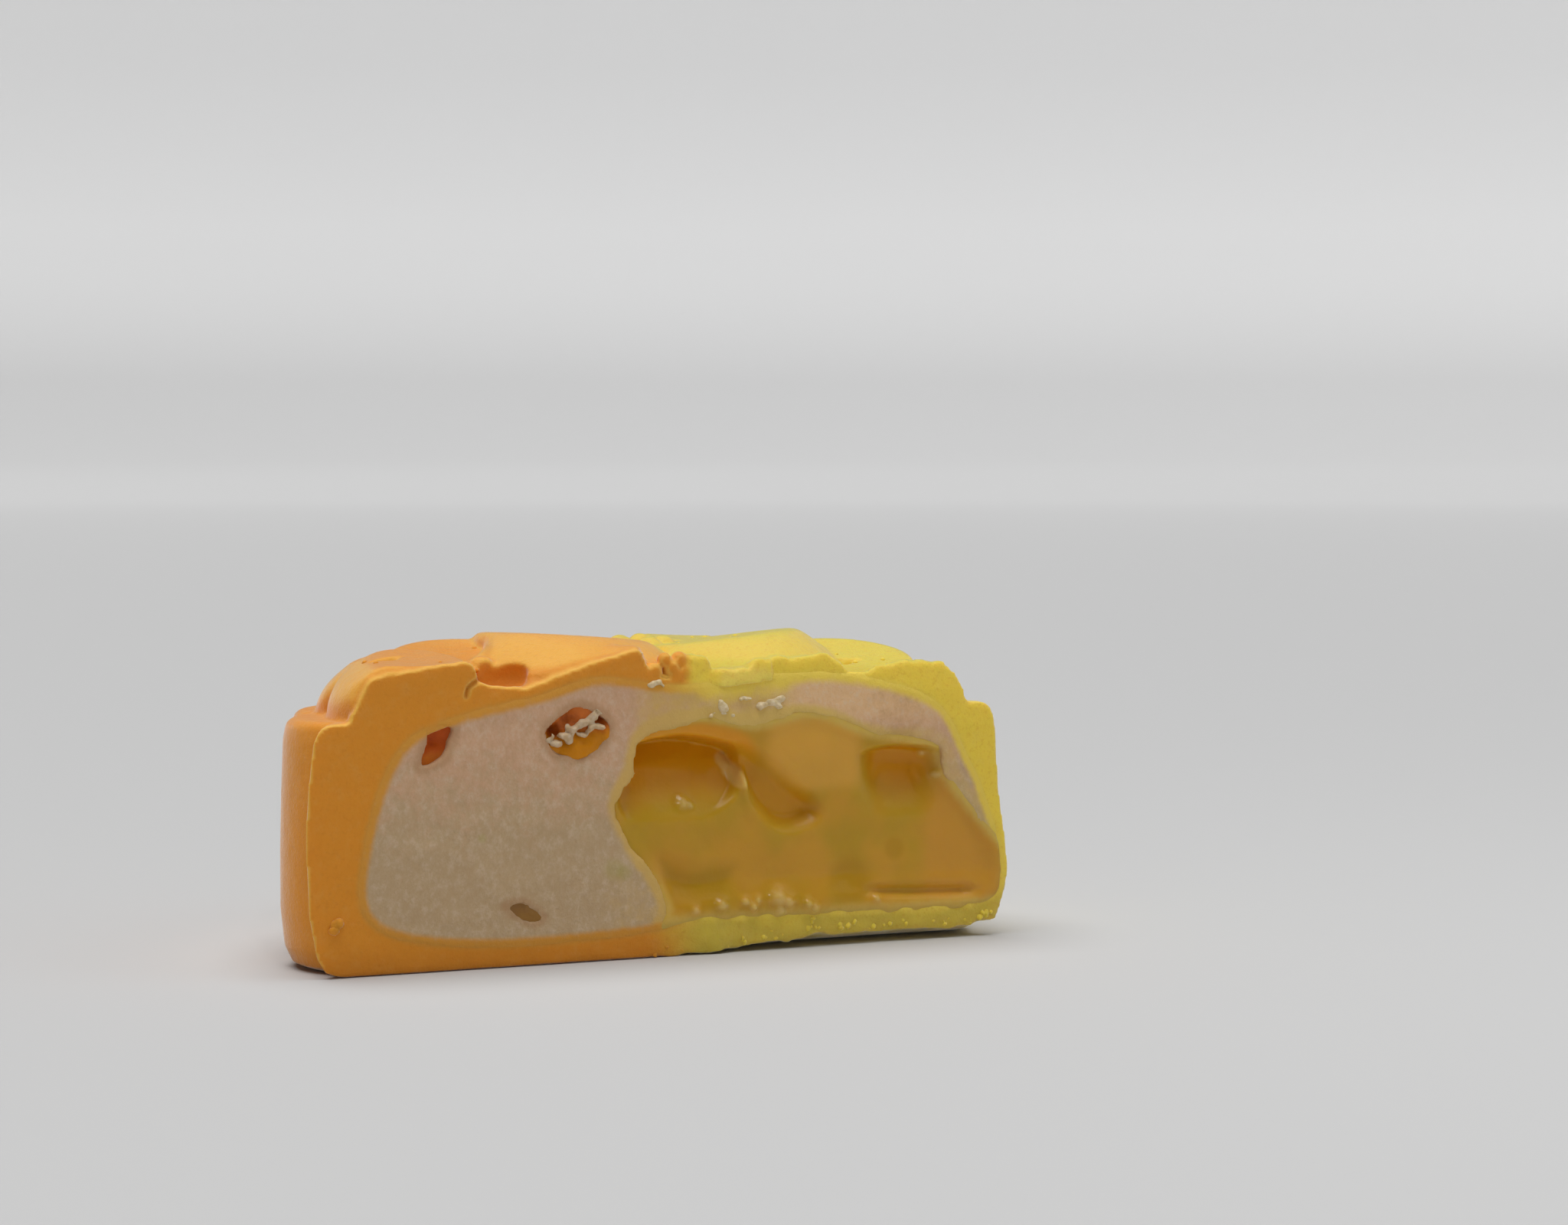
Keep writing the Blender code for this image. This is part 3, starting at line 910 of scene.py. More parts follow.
@dataclass(frozen=True)
class Mould:
    """The cake's moulded form: its scalloped wall, its ledge and its flowers."""

    lobes: int = 16
    crest: float = 39.6
    notch: float = 37.2
    ledge: float = 25.4
    lip_heights: tuple[float, ...] = (
        0.0, 2.0, 5.0, 7.0, 9.5, 13.0, 16.5, 20.0, 23.5, 25.2)
    lip_left: tuple[float, ...] = (0.35, 0.6, 0.85, 1.0, 1.1, 1.25, 1.25, 1.05, 0.8, 0.3)
    lip_right: tuple[float, ...] = (0.2, 0.6, 1.3, 1.55, 1.4, 0.9, 0.5, 0.35, 0.2, -0.1)
    drag_places: tuple[float, ...] = (3.0, 10.7, 16.0, 28.0, 35.5, 36.8, 39.0)
    drag_rises: tuple[float, ...] = (0.0, 0.6, 1.2, 1.25, 0.95, 1.6, 1.9)
    drag_reach: float = 3.2
    wall_heights: tuple[float, ...] = (0.0, 0.6, 2.2, 6.0, 12.0, 18.0, 23.2, 24.8, 25.4)
    wall_insets: tuple[float, ...] = (-2.2, -1.0, -0.25, 0.15, 0.15, 0.0, -0.2, -0.5, -0.7)
    bed_reach: float = 35.7
    bed_foot: float = 18.0
    bed_radii: tuple[float, ...] = (0.0, 8.0, 24.0, 31.0, 34.6, 35.6)
    bed_heights: tuple[float, ...] = (28.9, 28.9, 28.2, 27.0, 25.8, 24.6)
    crown_radius: float = 36.0
    crown_rim: float = 25.8
    crown_top: float = 34.2
    dish: float = 0.5
    taper: float = 0.12
    draft: float = 0.08
    shoulder: float = 1.3
    crease: float = 0.35
    vein_width: float = 1.5
    vein_depth: float = 1.0
    petal_foot: float = 23.0
    petals: tuple[Petal, ...] = (
        Petal(-28.15, 1.5, 6.85, 8.2, 95.0, 32.4, 30.8, (-31.2, 3.4, -27.0, 5.0)),
        Petal(-27.6, 11.4, 5.6, 6.2, 158.0, 31.6, 30.8, (-30.4, 12.2, -26.2, 10.6)),
        Petal(-24.4, 18.4, 6.3, 5.9, 144.0, 31.2, 30.2, (-27.2, 19.6, -22.9, 17.6)),
        Petal(-18.6, 7.9, 8.1, 9.0, 80.0, 32.8, 29.8, (-18.8, 3.4, -15.6, 10.2)),
        Petal(-17.5, 24.3, 6.9, 7.5, 134.0, 31.9, 30.0, (-19.7, 26.2, -14.3, 21.6)),
        Petal(-9.2, -4.2, 7.7, 7.7, 46.0, 33.4, 26.8, None, 32.4),
        Petal(-5.6, 12.6, 9.2, 9.9, 211.0, 33.7, 31.8, (-7.3, 9.8, -2.1, 16.5), skirt=1.5),
        Petal(-5.5, 25.6, 3.9, 4.7, 80.0, 31.9, 31.2, (-7.1, 25.6, -4.3, 24.0)),
        Petal(-5.9, 30.0, 6.2, 5.4, 92.0, 31.0, 30.2, (-7.4, 32.0, -6.2, 34.4)),
        Petal(5.2, 27.7, 7.3, 8.8, 84.0, 32.6, 30.4, (4.6, 23.0, 4.8, 31.0)),
        Petal(11.8, 11.5, 7.2, 8.6, -38.0, 33.5, 31.3, (7.9, 13.1, 14.7, 8.1), skirt=1.2),
        Petal(11.0, -4.9, 7.4, 9.0, -8.0, 31.3, 29.4),
        Petal(15.4, 24.6, 6.9, 7.3, 56.0, 32.9, 31.6, (14.8, 22.7, 19.1, 25.8)),
        Petal(21.8, 3.0, 8.9, 6.8, 80.0, 32.4, 28.0, (18.8, 4.4, 25.2, 3.0)),
        Petal(24.4, 15.8, 6.7, 6.9, 32.0, 31.6, 30.2, (23.1, 15.8, 27.7, 18.1)),
        Petal(28.3, -6.5, 6.2, 6.1, -15.0, 29.9, 30.7),
    )
    stamens: tuple[Stamens, ...] = (
        Stamens(-17.0, 4.1, 30.0, 1.5, 1.4, 0.0, (-5.0, 175.0)),
        Stamens(5.2, 17.7, 30.8, 2.5, 1.5, 1.3, (-16.0, 56.0, 128.0, 200.0, 272.0)),
        Stamens(-13.4, 19.2, 30.0, 2.7, 1.6, 1.6, (47.0, 229.0)),
    )
    knobs: tuple[Ball, ...] = (
        (-0.4, -1.4, 30.8, 0.8), (1.4, -1.1, 30.7, 0.95), (0.3, -1.6, 29.9, 0.85),
        (0.8, -1.6, 29.0, 0.9), (1.9, -1.6, 29.5, 0.85), (2.7, -1.1, 30.5, 0.9),
        (3.8, -1.2, 30.1, 1.1), (2.9, -1.5, 29.2, 0.9), (-1.7, -1.4, 29.6, 1.0))
    filling: tuple[Ball, ...] = ((0.7, -0.2, 28.9, 1.6), (2.7, 0.1, 28.6, 1.5))
    hollow: Place = (-18.2, 0.9, 29.6)
    hollow_half: Place = (3.4, 2.2, 2.4)
    rim: tuple[Point, ...] = (
        (-39.6, 25.4), (-35.3, 25.6), (-34.4, 26.6), (-33.8, 28.1), (-33.1, 29.4), (-32.3, 29.9),
        (-28.4, 30.5), (-24.3, 31.1), (-23.1, 31.25), (-22.0, 31.1), (-21.5, 30.3), (-21.1, 29.1),
        (-20.2, 28.9), (-18.5, 28.6), (-16.4, 28.3), (-13.5, 29.2), (-9.7, 30.5), (-5.8, 31.6),
        (-3.8, 32.0), (-3.3, 31.5), (-2.7, 30.3), (-2.0, 29.1), (0.5, 28.7), (2.8, 28.6),
        (3.9, 29.3), (5.4, 29.7), (9.2, 29.7), (9.7, 30.5), (11.2, 30.7), (13.4, 30.9),
        (14.3, 30.5), (16.1, 30.8), (17.9, 31.0), (18.8, 30.9), (19.7, 30.3), (20.5, 29.4),
        (22.1, 28.6), (22.8, 28.8), (24.3, 29.5), (28.0, 29.9), (32.2, 29.7), (33.6, 28.7),
        (34.4, 27.2), (34.8, 26.0), (36.4, 25.6), (39.6, 25.0))
    rim_thick: float = 1.0
    rim_foot: float = 24.0
    rim_reach: float = 34.9
    crack: tuple[Point, ...] = ((-21.1, 29.5), (-21.8, 29.05), (-22.4, 28.6), (-22.6, 27.7))
    crack_width: float = 0.38

    def scallop(self, angle: Array) -> Array:
        """Work out the radius of the wall, whose lobes are arcs.

        Args:
            angle: Angles round the axis.

        Returns:
            The radius at each angle.
        """
        lobe = 2.0 * math.pi / self.lobes
        half_chord = self.notch * math.sin(lobe / 2.0)
        rise = self.crest - self.notch * math.cos(lobe / 2.0)
        arc = (half_chord ** 2 + rise ** 2) / (2.0 * rise)
        centre = self.crest - arc
        off_middle = np.mod(angle, lobe) - lobe / 2.0
        return centre * np.cos(off_middle) + np.sqrt(arc ** 2 - (centre * np.sin(off_middle)) ** 2)

    def crown(self, x: Array, y: Array) -> Array:
        """Return the height of the rounded crown that no petal rises above."""
        share = np.minimum(np.hypot(x, y) / self.crown_radius, 1.0)
        return self.crown_rim + (self.crown_top - self.crown_rim) * (1.0 - share ** 5) ** 0.68

    def bed(self, radius: Array) -> Array:
        """Return the height of the low bed between the petals."""
        return np.interp(radius, self.bed_radii, self.bed_heights)

    def petal_axes(self, petal: Petal, x: Array, y: Array) -> tuple[Array, Array]:
        """Turn places in plan into shares of a petal's half sizes.

        Args:
            petal: The petal.
            x: Places along X, in millimetres.
            y: Places along Y.

        Returns:
            The shares along and across the petal.
        """
        heading = math.radians(petal.heading)
        away_x, away_y = x - petal.x, y - petal.y
        along = (away_x * math.cos(heading) + away_y * math.sin(heading)) / petal.along
        across = away_y * math.cos(heading) - away_x * math.sin(heading)
        return along, across / (petal.across * (1.0 + self.taper * np.clip(along, -1.0, 1.0)))

    def petal_top(self, petal: Petal, x: Array, y: Array) -> Array:
        """Return the height of a petal's top.

        Args:
            petal: The petal.
            x: Places along X, in millimetres.
            y: Places along Y.

        Returns:
            The height over each place, its vein carved in.
        """
        along, across = self.petal_axes(petal, x, y)
        slope = (np.clip(along, -1.2, 1.0) + 1.0) / 2.0
        height = petal.inner + (petal.outer - petal.inner) * slope
        height = height - self.dish * np.maximum(0.0, 1.0 - along ** 2 - across ** 2)
        height = smooth_min(smooth_min(height, self.crown(x, y), 0.8), petal.cap, 0.6)
        if petal.vein:
            height = height - self.vein(petal.vein, x, y)
        return height

    def vein(self, ends: Ball, x: Array, y: Array) -> Array:
        """Work out a vein, which is widest and deepest at its middle.

        Args:
            ends: The x and y of its start and of its end.
            x: Places along X, in millimetres.
            y: Places along Y.

        Returns:
            Its depth at each place.
        """
        run_x, run_y = ends[2] - ends[0], ends[3] - ends[1]
        length = math.hypot(run_x, run_y)
        along = ((x - ends[0]) * run_x + (y - ends[1]) * run_y) / length ** 2
        aside = ((x - ends[0]) * run_y - (y - ends[1]) * run_x) / length
        swell = np.sin(np.pi * np.clip(along, 0.0, 1.0))
        side = np.abs(aside - 0.5 * swell) / (self.vein_width / 2.0 * swell + 1e-6)
        return self.vein_depth * swell * fade(side, 1.0, 0.15)

    def veins(self, x: Array, y: Array) -> Array:
        """Work out where the petals' veins darken them.

        Args:
            x: Places along X, in millimetres.
            y: Places along Y.

        Returns:
            How dark each place is, between 0 and 1.
        """
        total = np.zeros(np.shape(x))
        for petal in self.petals:
            if petal.vein:
                total = np.maximum(total, self.vein(petal.vein, x, y))
        return total / self.vein_depth

    def petal_field(self, petal: Petal, x: Array, y: Array, z: Array) -> Array:
        """Return the distance to one petal.

        Args:
            petal: The petal.
            x: Places along X, in millimetres.
            y: Places along Y.
            z: Places along Z.

        Returns:
            The distance at each place, negative inside.
        """
        along, across = self.petal_axes(petal, x, y)
        share = np.sqrt(along ** 2 + across ** 2) + 1e-6
        pull = np.sqrt((along / petal.along) ** 2 + (across / petal.across) ** 2) + 1e-6
        top = self.petal_top(petal, x, y)
        side = share * (share - 1.0) / pull - self.draft * np.clip(top - z, 0.0, 7.0)
        toward = (petal.y - y) / petal.across
        side = side - petal.skirt * np.clip(top - z, 0.0, 4.0) * fade(toward, 0.1, 0.7)
        return smooth_max(side, (z - top) * 0.92, self.shoulder)

    def lift(self, x: Array, y: Array) -> Array:
        """Return how far the knife dragged the base's edge up, at the cut's right end."""
        rise = np.interp(x, self.drag_places, self.drag_rises)
        return rise * np.exp(-((y - CUT_Y) / self.drag_reach) ** 2)

    def lip(self, x: Array, y: Array, z: Array) -> Array:
        """Work out how far the knife pushed the wall out at the cut.

        Args:
            x: Sample places along X, shaped to combine with the others.
            y: Sample places along Y.
            z: Sample places along Z.

        Returns:
            The push at each place, in millimetres.
        """
        left = np.interp(z, self.lip_heights, self.lip_left)
        right = np.interp(z, self.lip_heights, self.lip_right)
        lip = np.where(x < 0.0, left, right)
        return lip * (0.7 * fade(y, -0.2, -1.9) + 0.3 * fade(y, -1.6, -2.2))

    def body(self, x: Array, y: Array, z: Array) -> Array:
        """Return the distance to the whole cake's form with its flowers.

        Args:
            x: Sample places along X, shaped to combine with the others.
            y: Sample places along Y.
            z: Sample places along Z.

        Returns:
            The distance at every sample point.
        """
        radius, angle = np.hypot(x, y), np.arctan2(y, x)
        wall = radius - self.scallop(angle) - self.lip(x, y, z)
        wall = wall - np.interp(z, self.wall_heights, self.wall_insets)
        found = smooth_max(wall, z - self.ledge, 1.1)
        bed = smooth_max(z - self.bed(radius), radius - self.bed_reach, 1.0)
        found = smooth_min(found, np.maximum(bed, self.bed_foot - z), 0.8)
        found = smooth_max(found, self.lift(x, y) - z, 0.8)
        for petal in self.petals:
            reach = max(petal.across, petal.along) * 1.1 + 2.0 + 4.0 * petal.skirt
            part = window(x, y, (petal.x, petal.y), reach)
            shape = self.petal_field(petal, x[part[0]], y[:, part[1]], z)
            shape = np.maximum(shape, self.petal_foot - z)
            found[part] = smooth_min(found[part], shape, self.crease)
        for stamens in self.stamens:
            join_balls(found, (x, y, z), stamens.balls())
        return found

    def carved(self, x: Array, y: Array, z: Array, into: Array) -> Array:
        """Return the cake's form with the uneven rim and the torn flowers at the cut.

        Args:
            x: Sample places along X, shaped to combine with the others.
            y: Sample places along Y.
            z: Sample places along Z.
            into: How far each sample point lies behind the cut face.

        Returns:
            The distance at every sample point.
        """
        found = self.body(x, y, z)
        top = self.rim_top(x)
        found = smooth_max(found, z - top - 1.3 * np.maximum(into - 0.4, 0.0), 0.5)
        slab = smooth_max(z - top, into - self.rim_thick, 0.5)
        slab = np.maximum(np.maximum(slab, self.rim_foot - z), np.hypot(x, y) - self.rim_reach)
        found = smooth_min(found, slab, 0.4)
        join_balls(found, (x, y, z), self.filling)
        join_balls(found, (x, y, z), self.knobs, 0.2)
        share = [(axis - centre) / half
                 for axis, centre, half in zip((x, y, z), self.hollow, self.hollow_half)]
        pit = (np.sqrt(sum(part ** 2 for part in share)) - 1.0) * min(self.hollow_half)
        return smooth_max(found, -pit, 0.5)

    def rim_top(self, x: Array) -> Array:
        """Work out the uneven height to which the torn flowers rise at the cut.

        Args:
            x: Places along X, in millimetres.

        Returns:
            The height at each place.
        """
        places, heights = zip(*self.rim)
        top = np.interp(x, places, heights) + 0.10 * np.sin(x * 2.3) * np.sin(x * 0.9 + 1.0)
        return top + 0.14 * np.sin(x * 5.7) * np.sin(x * 3.1 + 2.0) * fade(x, 4.0, 9.0)

    def fold(self, x: Array, z: Array) -> Array:
        """Work out where the fold at the first petal's end cuts into the face.

        Args:
            x: Places along X, in millimetres.
            z: Places along Z.

        Returns:
            How deep the fold is at each place, between 0 and 1.
        """
        nearest = np.full(np.broadcast(x, z).shape, FAR)
        for (x0, z0), (x1, z1) in zip(self.crack, self.crack[1:]):
            run_x, run_z = x1 - x0, z1 - z0
            along = ((x - x0) * run_x + (z - z0) * run_z) / (run_x ** 2 + run_z ** 2)
            along = np.clip(along, 0.0, 1.0)
            away = np.hypot(x - x0 - along * run_x, z - z0 - along * run_z)
            nearest = np.minimum(nearest, away)
        return np.clip(1.0 - nearest / self.crack_width, 0.0, 1.0)


@dataclass(frozen=True)
class Dome:
    """A filling that starts at the cut and closes in a rounded end behind it."""

    outline: PlaneField
    centre: Point
    depth: float
    fullness: float = 2.3
    least: float = 0.06

    def distance(self, x: Array, y: Array, z: Array) -> Array:
        """Return the distance to the filling.

        Args:
            x: Sample places along X, shaped to combine with the others.
            y: Sample places along Y.
            z: Sample places along Z.

        Returns:
            The distance at every sample point, negative inside.
        """
        found = np.empty(np.broadcast(x, y, z).shape)
        for row, place in enumerate(y[0, :, 0]):
            into = max(0.0, (place - CUT_Y) / self.depth)
            scale = max(self.least, 1.0 - into ** self.fullness) ** (1.0 / self.fullness)
            plane_x = self.centre[0] + (x[:, 0, :] - self.centre[0]) / scale
            plane_z = self.centre[1] + (z[:, 0, :] - self.centre[1]) / scale
            found[:, row, :] = self.outline.at(plane_x, plane_z) * scale
        return smooth_max(found, y - CUT_Y - self.depth, 2.0)


@dataclass(frozen=True)
class Cut:
    """The knife's path: a nearly flat face with a little waviness, shared by all the foods."""

    noise: Noise
    behind: float = 0.12
    broad: Point = (14.0, 0.16)
    fine: Point = (4.0, 0.05)

    def plane(self, x: Array, z: Array) -> Array:
        """Work out how far back the cut face lies.

        Args:
            x: Places along X, in millimetres.
            z: Places along Z.

        Returns:
            The face's place along Y, in millimetres.
        """
        broad = self.noise.single(x, 0.0, z, self.broad[0]) * self.broad[1]
        fine = self.noise.single(x + 40.0, 3.0, z, self.fine[0]) * self.fine[1]
        lean = 0.07 * np.maximum(z - 23.0, 0.0) + 0.10 * np.maximum(z - 27.0, 0.0)
        return CUT_Y + self.behind + broad + lean * fade(x, 1.0, 6.0) + fine


def put(name: str, data: Any) -> bpy.types.Object:
    """Add an object with the given data to the scene."""
    thing = bpy.data.objects.new(name, data)
    bpy.context.scene.collection.objects.link(thing)
    return thing


def mesh_of(name: str, points: list[Place], faces: list[tuple[int, ...]]) -> bpy.types.Mesh:
    """Make a mesh.

    Args:
        name: Its name.
        points: Its corners, in metres.
        faces: The corner numbers of each face.

    Returns:
        The mesh.
    """
    mesh = bpy.data.meshes.new(name)
    mesh.from_pydata(points, [], faces)
    return mesh


def applied_mesh(thing: bpy.types.Object) -> bpy.types.Mesh:
    """Return a new mesh with an object's modifiers applied."""
    view = bpy.context.evaluated_depsgraph_get()
    return bpy.data.meshes.new_from_object(thing.evaluated_get(view))


def settle(thing: bpy.types.Object, nodes: tuple[str, ...] = ()) -> None:
    """Fix an object in the frame and report it.

    Args:
        thing: The object, with its place in its mesh.
        nodes: CAD nodes that it stands for.
    """
    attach(thing, "root")
    if nodes:
        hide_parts(*nodes)
    thing.data.calc_loop_triangles()
    log.info("%s: %d triangles", thing.name, len(thing.data.loop_triangles))


def store(thing: bpy.types.Object, name: str, values: Array) -> None:
    """Store one number at each corner of an object's mesh."""
    made = thing.data.attributes.new(name, "FLOAT", "POINT")
    made.data.foreach_set("value", np.asarray(values, np.float32))


def vectors(items: Any, name: str) -> Array:
    """Read one vector from each of a mesh's items.

    Args:
        items: The mesh's corners or their normals.
        name: Name of the vector.

    Returns:
        The vectors' parts along X, along Y and along Z.
    """
    flat = np.empty(len(items) * 3)
    items.foreach_get(name, flat)
    return flat.reshape(-1, 3).T


def corners_of(thing: bpy.types.Object) -> Array:
    """Return where an object's corners lie along X, Y and Z, in millimetres."""
    return vectors(thing.data.vertices, "co") / MM


@dataclass(frozen=True)
class Piece:
    """Makes one closed mesh from a field and dresses it."""

    name: str
    block: Block
    slot: Slot

    def mesh(self, field: Array, most: int) -> bpy.types.Object:
        """Turn a field into an object.

        Args:
            field: Distance at every sample point of the block.
            most: Most triangles that the mesh may keep.

        Returns:
            The object, with its place in its mesh.
        """
        points, quads = self.block.net(field)
        thing = put(self.name, mesh_of(self.name, (points * MM).tolist(), quads.tolist()))
        if len(quads) * 2 > most:
            step = thing.modifiers.new("thin", "DECIMATE")
            step.ratio = most / (len(quads) * 2)
            thinned = applied_mesh(thing)
            thing.modifiers.remove(step)
            thing.data = thinned
        thing.data.shade_smooth()
        return thing

    def dress(self, thing: bpy.types.Object, finish: Finish, nodes: tuple[str, ...]) -> None:
        """Give an object its material and its place in the frame.

        Args:
            thing: The object.
            finish: The finish that builds its material.
            nodes: CAD nodes that the object stands for.
        """
        thing.data.materials.clear()
        thing.data.materials.append(finish.build())
        settle(thing, nodes)


def hump(x: Array, z: Array, place: tuple[float, ...]) -> Array:
    """Work out a round hump on the cut.

    Args:
        x: Places along X, in millimetres.
        z: Places along Z.
        place: The x and z of its middle, its size, and numbers that aren't read here.

    Returns:
        Its height, which is 1 in the middle and falls off to 0.
    """
    return np.exp(-((x - place[0]) ** 2 + (z - place[1]) ** 2) / place[2] ** 2)


def mound(x: Array, z: Array, place: Ball) -> Array:
    """Work out an oval mound on the cut.

    Args:
        x: Places along X, in millimetres.
        z: Places along Z.
        place: The x and z of its middle, and its half width and half height.

    Returns:
        Its height, which is 1 in the middle and falls off to 0.
    """
    return np.exp(-((x - place[0]) / place[2]) ** 2 - ((z - place[1]) / place[3]) ** 2)


@dataclass(frozen=True)
class Fillings:
    """The shapes that the foods share at the cut."""

    mould: Mould
    noise: Noise
    skin_least: float = 1.1
    bed_skin: float = 1.4
    lap: float = 0.35
    paste_middle: Point = (1.0, 15.0)
    paste_depth: float = 33.5
    custard_middle: Point = (18.0, 14.0)
    custard_reach: float = 24.0
    lumps: tuple[Ball, ...] = (
        (12.3, 5.4, 1.1, 0.75), (13.3, 4.9, 0.8, 0.65), (12.4, 4.0, 0.7, 0.55),
        (8.4, 5.2, 0.5, 0.6), (9.3, 4.6, 0.5, 0.7), (9.9, 5.3, 0.4, 0.5), (5.6, 5.0, 0.7, 0.6),
        (15.7, 4.6, 0.5, 0.7), (16.5, 4.2, 0.5, 0.6), (1.7, 15.9, 0.7, 0.5), (2.5, 15.6, 0.4, 0.4),
        (24.0, 4.8, 0.5, 0.4), (2.6, 4.6, 0.5, 0.4), (30.4, 19.8, 0.4, 0.5), (31.6, 17.6, 0.5, 0.4))
    paste_edge: PlaneField = Outline((
        (-24.3, 24.8), (-29.6, 21.8), (-32.8, 13.5), (-32.6, 5.8), (-23.0, 3.1), (-7.0, 3.1),
        (9.0, 4.3), (33.5, 3.9), (38.8, 6.6), (36.4, 14.9), (34.2, 19.4), (30.6, 25.0),
        (22.0, 27.8), (12.5, 28.3), (1.0, 27.4), (-8.0, 28.5), (-14.5, 26.9))).sampler()
    custard_edge: PlaneField = Outline((
        (-2.9, 23.0), (-4.6, 19.4), (-6.2, 16.3), (-5.4, 13.6), (-3.3, 10.3), (-1.2, 7.5),
        (-0.3, 4.8), (0.3, 1.4), (20.0, 1.4), (38.6, 1.6), (41.0, 7.0), (36.6, 12.4), (32.7, 17.0),
        (30.8, 20.7), (23.0, 22.4), (16.5, 24.6), (9.6, 23.6), (3.2, 24.3))).sampler()
    left_hollow: PlaneField = Outline((
        (-5.8, 15.6), (-5.4, 20.4), (-3.6, 22.0), (-0.8, 22.6), (2.2, 22.7), (5.3, 22.2),
        (8.1, 21.1), (8.6, 18.2), (6.6, 15.6), (3.6, 14.0), (0.0, 13.2), (-3.2, 13.4))).sampler()
    trough: PlaneField = Outline((
        (8.0, 21.4), (10.2, 20.5), (12.2, 18.9), (14.5, 17.1), (16.9, 15.5), (17.1, 13.9),
        (14.8, 13.0), (12.4, 13.3), (10.6, 14.9), (9.1, 17.3), (8.4, 19.1))).sampler()
    low_patch: PlaneField = Outline((
        (-1.3, 10.3), (0.6, 9.8), (2.8, 8.8), (5.0, 9.2), (7.5, 8.8), (6.8, 6.6), (5.6, 4.7),
        (1.8, 4.2), (-0.5, 5.2))).sampler()

    def wall(self, x: Array, y: Array, z: Array) -> Array:
        """Return the distance to the cake's wall less the skin's least thickness."""
        outer = self.mould.scallop(np.arctan2(y, x)) + self.mould.lip(x, y, z)
        return np.hypot(x, y) - outer + self.skin_least

    def mouth(self, x: Array, z: Array) -> Array:
        """Return the distance to the pocket's edge in the plane of the cut."""
        return np.maximum(self.paste_edge.at(x, z), self.wall(x, np.full(np.shape(x), CUT_Y), z))

    def pocket(self, x: Array, y: Array, z: Array, grow: Array | float = 0.0) -> Array:
        """Return the distance to the skin's pocket, which paste and custard fill.

        Args:
            x: Sample places along X, shaped to combine with the others.
            y: Sample places along Y.
            z: Sample places along Z.
            grow: How far the filling laps over the pocket's edge, in millimetres.

        Returns:
            The distance at every sample point.
        """
        dome = Dome(self.paste_edge, self.paste_middle, self.paste_depth)
        found = dome.distance(x, y, z) - grow
        lap = self.lap * (np.max(grow) > 0.0)
        found = smooth_max(found, self.wall(x, y, z) - lap, 0.6)
        roof = z - self.mould.bed(np.hypot(x, y)) + self.bed_skin
        behind = fade(y, CUT_Y + 0.4, CUT_Y + 2.0)
        return smooth_max(found, roof - (1.0 - behind) * 4.0, 0.6)

    def custard(self, x: Array, y: Array, z: Array) -> Array:
        """Work out the space that the custard fills inside the pocket.

        Args:
            x: Sample places along X, shaped to combine with the others.
            y: Sample places along Y.
            z: Sample places along Z.

        Returns:
            The distance to it at every sample point.
        """
        dome = Dome(self.custard_edge, self.custard_middle, self.custard_reach)
        uneven = 0.45 + 0.3 * fade(x, -1.0, -4.0) * fade(z, 13.0, 16.0)
        return dome.distance(x, y, z) + self.noise.layered(x, y, z, 3.0, 4) * uneven

    def hollows(self, x: Array, z: Array) -> list[Array]:
        """Work out the custard's hollows and its bulge.

        Args:
            x: Places along X, in millimetres.
            z: Places along Z.

        Returns:
            How much each hollow deepens the surface: the left one, the trough, the right one,
            the low ones at the left and the right, and the bulge, which lifts it.
        """
        slope = np.clip((z - 14.0) / 8.5, 0.0, 1.0) ** 1.2
        left = fade(self.left_hollow.at(x, z), 0.3, -0.6) * 4.6 * slope
        trough = fade(self.trough.at(x, z), 1.1, -1.2) * 1.7
        roof = fade(z - 20.9 + 0.02 * (x - 27.0) ** 2, 0.25, -0.55)
        right = 2.6 * roof * np.exp(-((x - 27.3) / 4.3) ** 4) * fade(z, 12.5, 20.0)
        low_left = 0.55 * fade(self.low_patch.at(x, z), 1.0, -1.8)
        low_right = 0.6 * mound(x, z, (21.0, 6.6, 2.4, 2.8))
        bulge = -0.5 * mound(x, z, (17.0, 20.6, 5.0, 3.4))
        return [left, trough, right, low_left, low_right, bulge]

    def custard_depth(self, x: Array, z: Array) -> Array:
        """Return how far behind the cut the custard's surface lies.

        Args:
            x: Places along X, in millimetres.
            z: Places along Z.

        Returns:
            The depth at each place, in millimetres.
        """
        edge, mouth = self.custard_edge.at(x, z), self.mouth(x, z)
        broad, fine = self.noise.single(x, 9.0, z, 6.0), self.noise.single(x, 4.0, z, 2.2)
        smooth = fade(x, -3.5, 1.0)
        shore = 0.45 - 0.45 * smooth + (0.55 + 0.45 * smooth) * fade(edge, 0.3, -1.6)
        depth = (0.6 + 0.35 * broad + 0.10 * fine) * shore
        for hollow in self.hollows(x, z):
            depth = depth + hollow
        smear = np.exp(-((x - 8.4 + 0.25 * (z - 18.5)) / 0.6) ** 2 - ((z - 18.2) / 1.9) ** 2)
        depth = np.maximum(depth - 1.2 * smear, 0.0)
        shelf = np.exp(-((z - 5.5 + 0.04 * (x - 23.0)) / 0.55) ** 2)
        shelf = shelf * fade(x, 21.5, 25.0) * fade(x, 37.4, 34.0)
        depth = depth * fade(z, 4.4, 8.0) * fade(mouth, -0.1, -2.0) + 0.8 * shelf
        depth = depth - np.max([lump[3] * hump(x, z, lump) for lump in self.lumps], axis=0)
        proud = 0.05 + 0.10 * fade(mouth, -1.0, -0.1)
        return depth - proud + 0.6 * fade(edge, 0.25, 1.1)


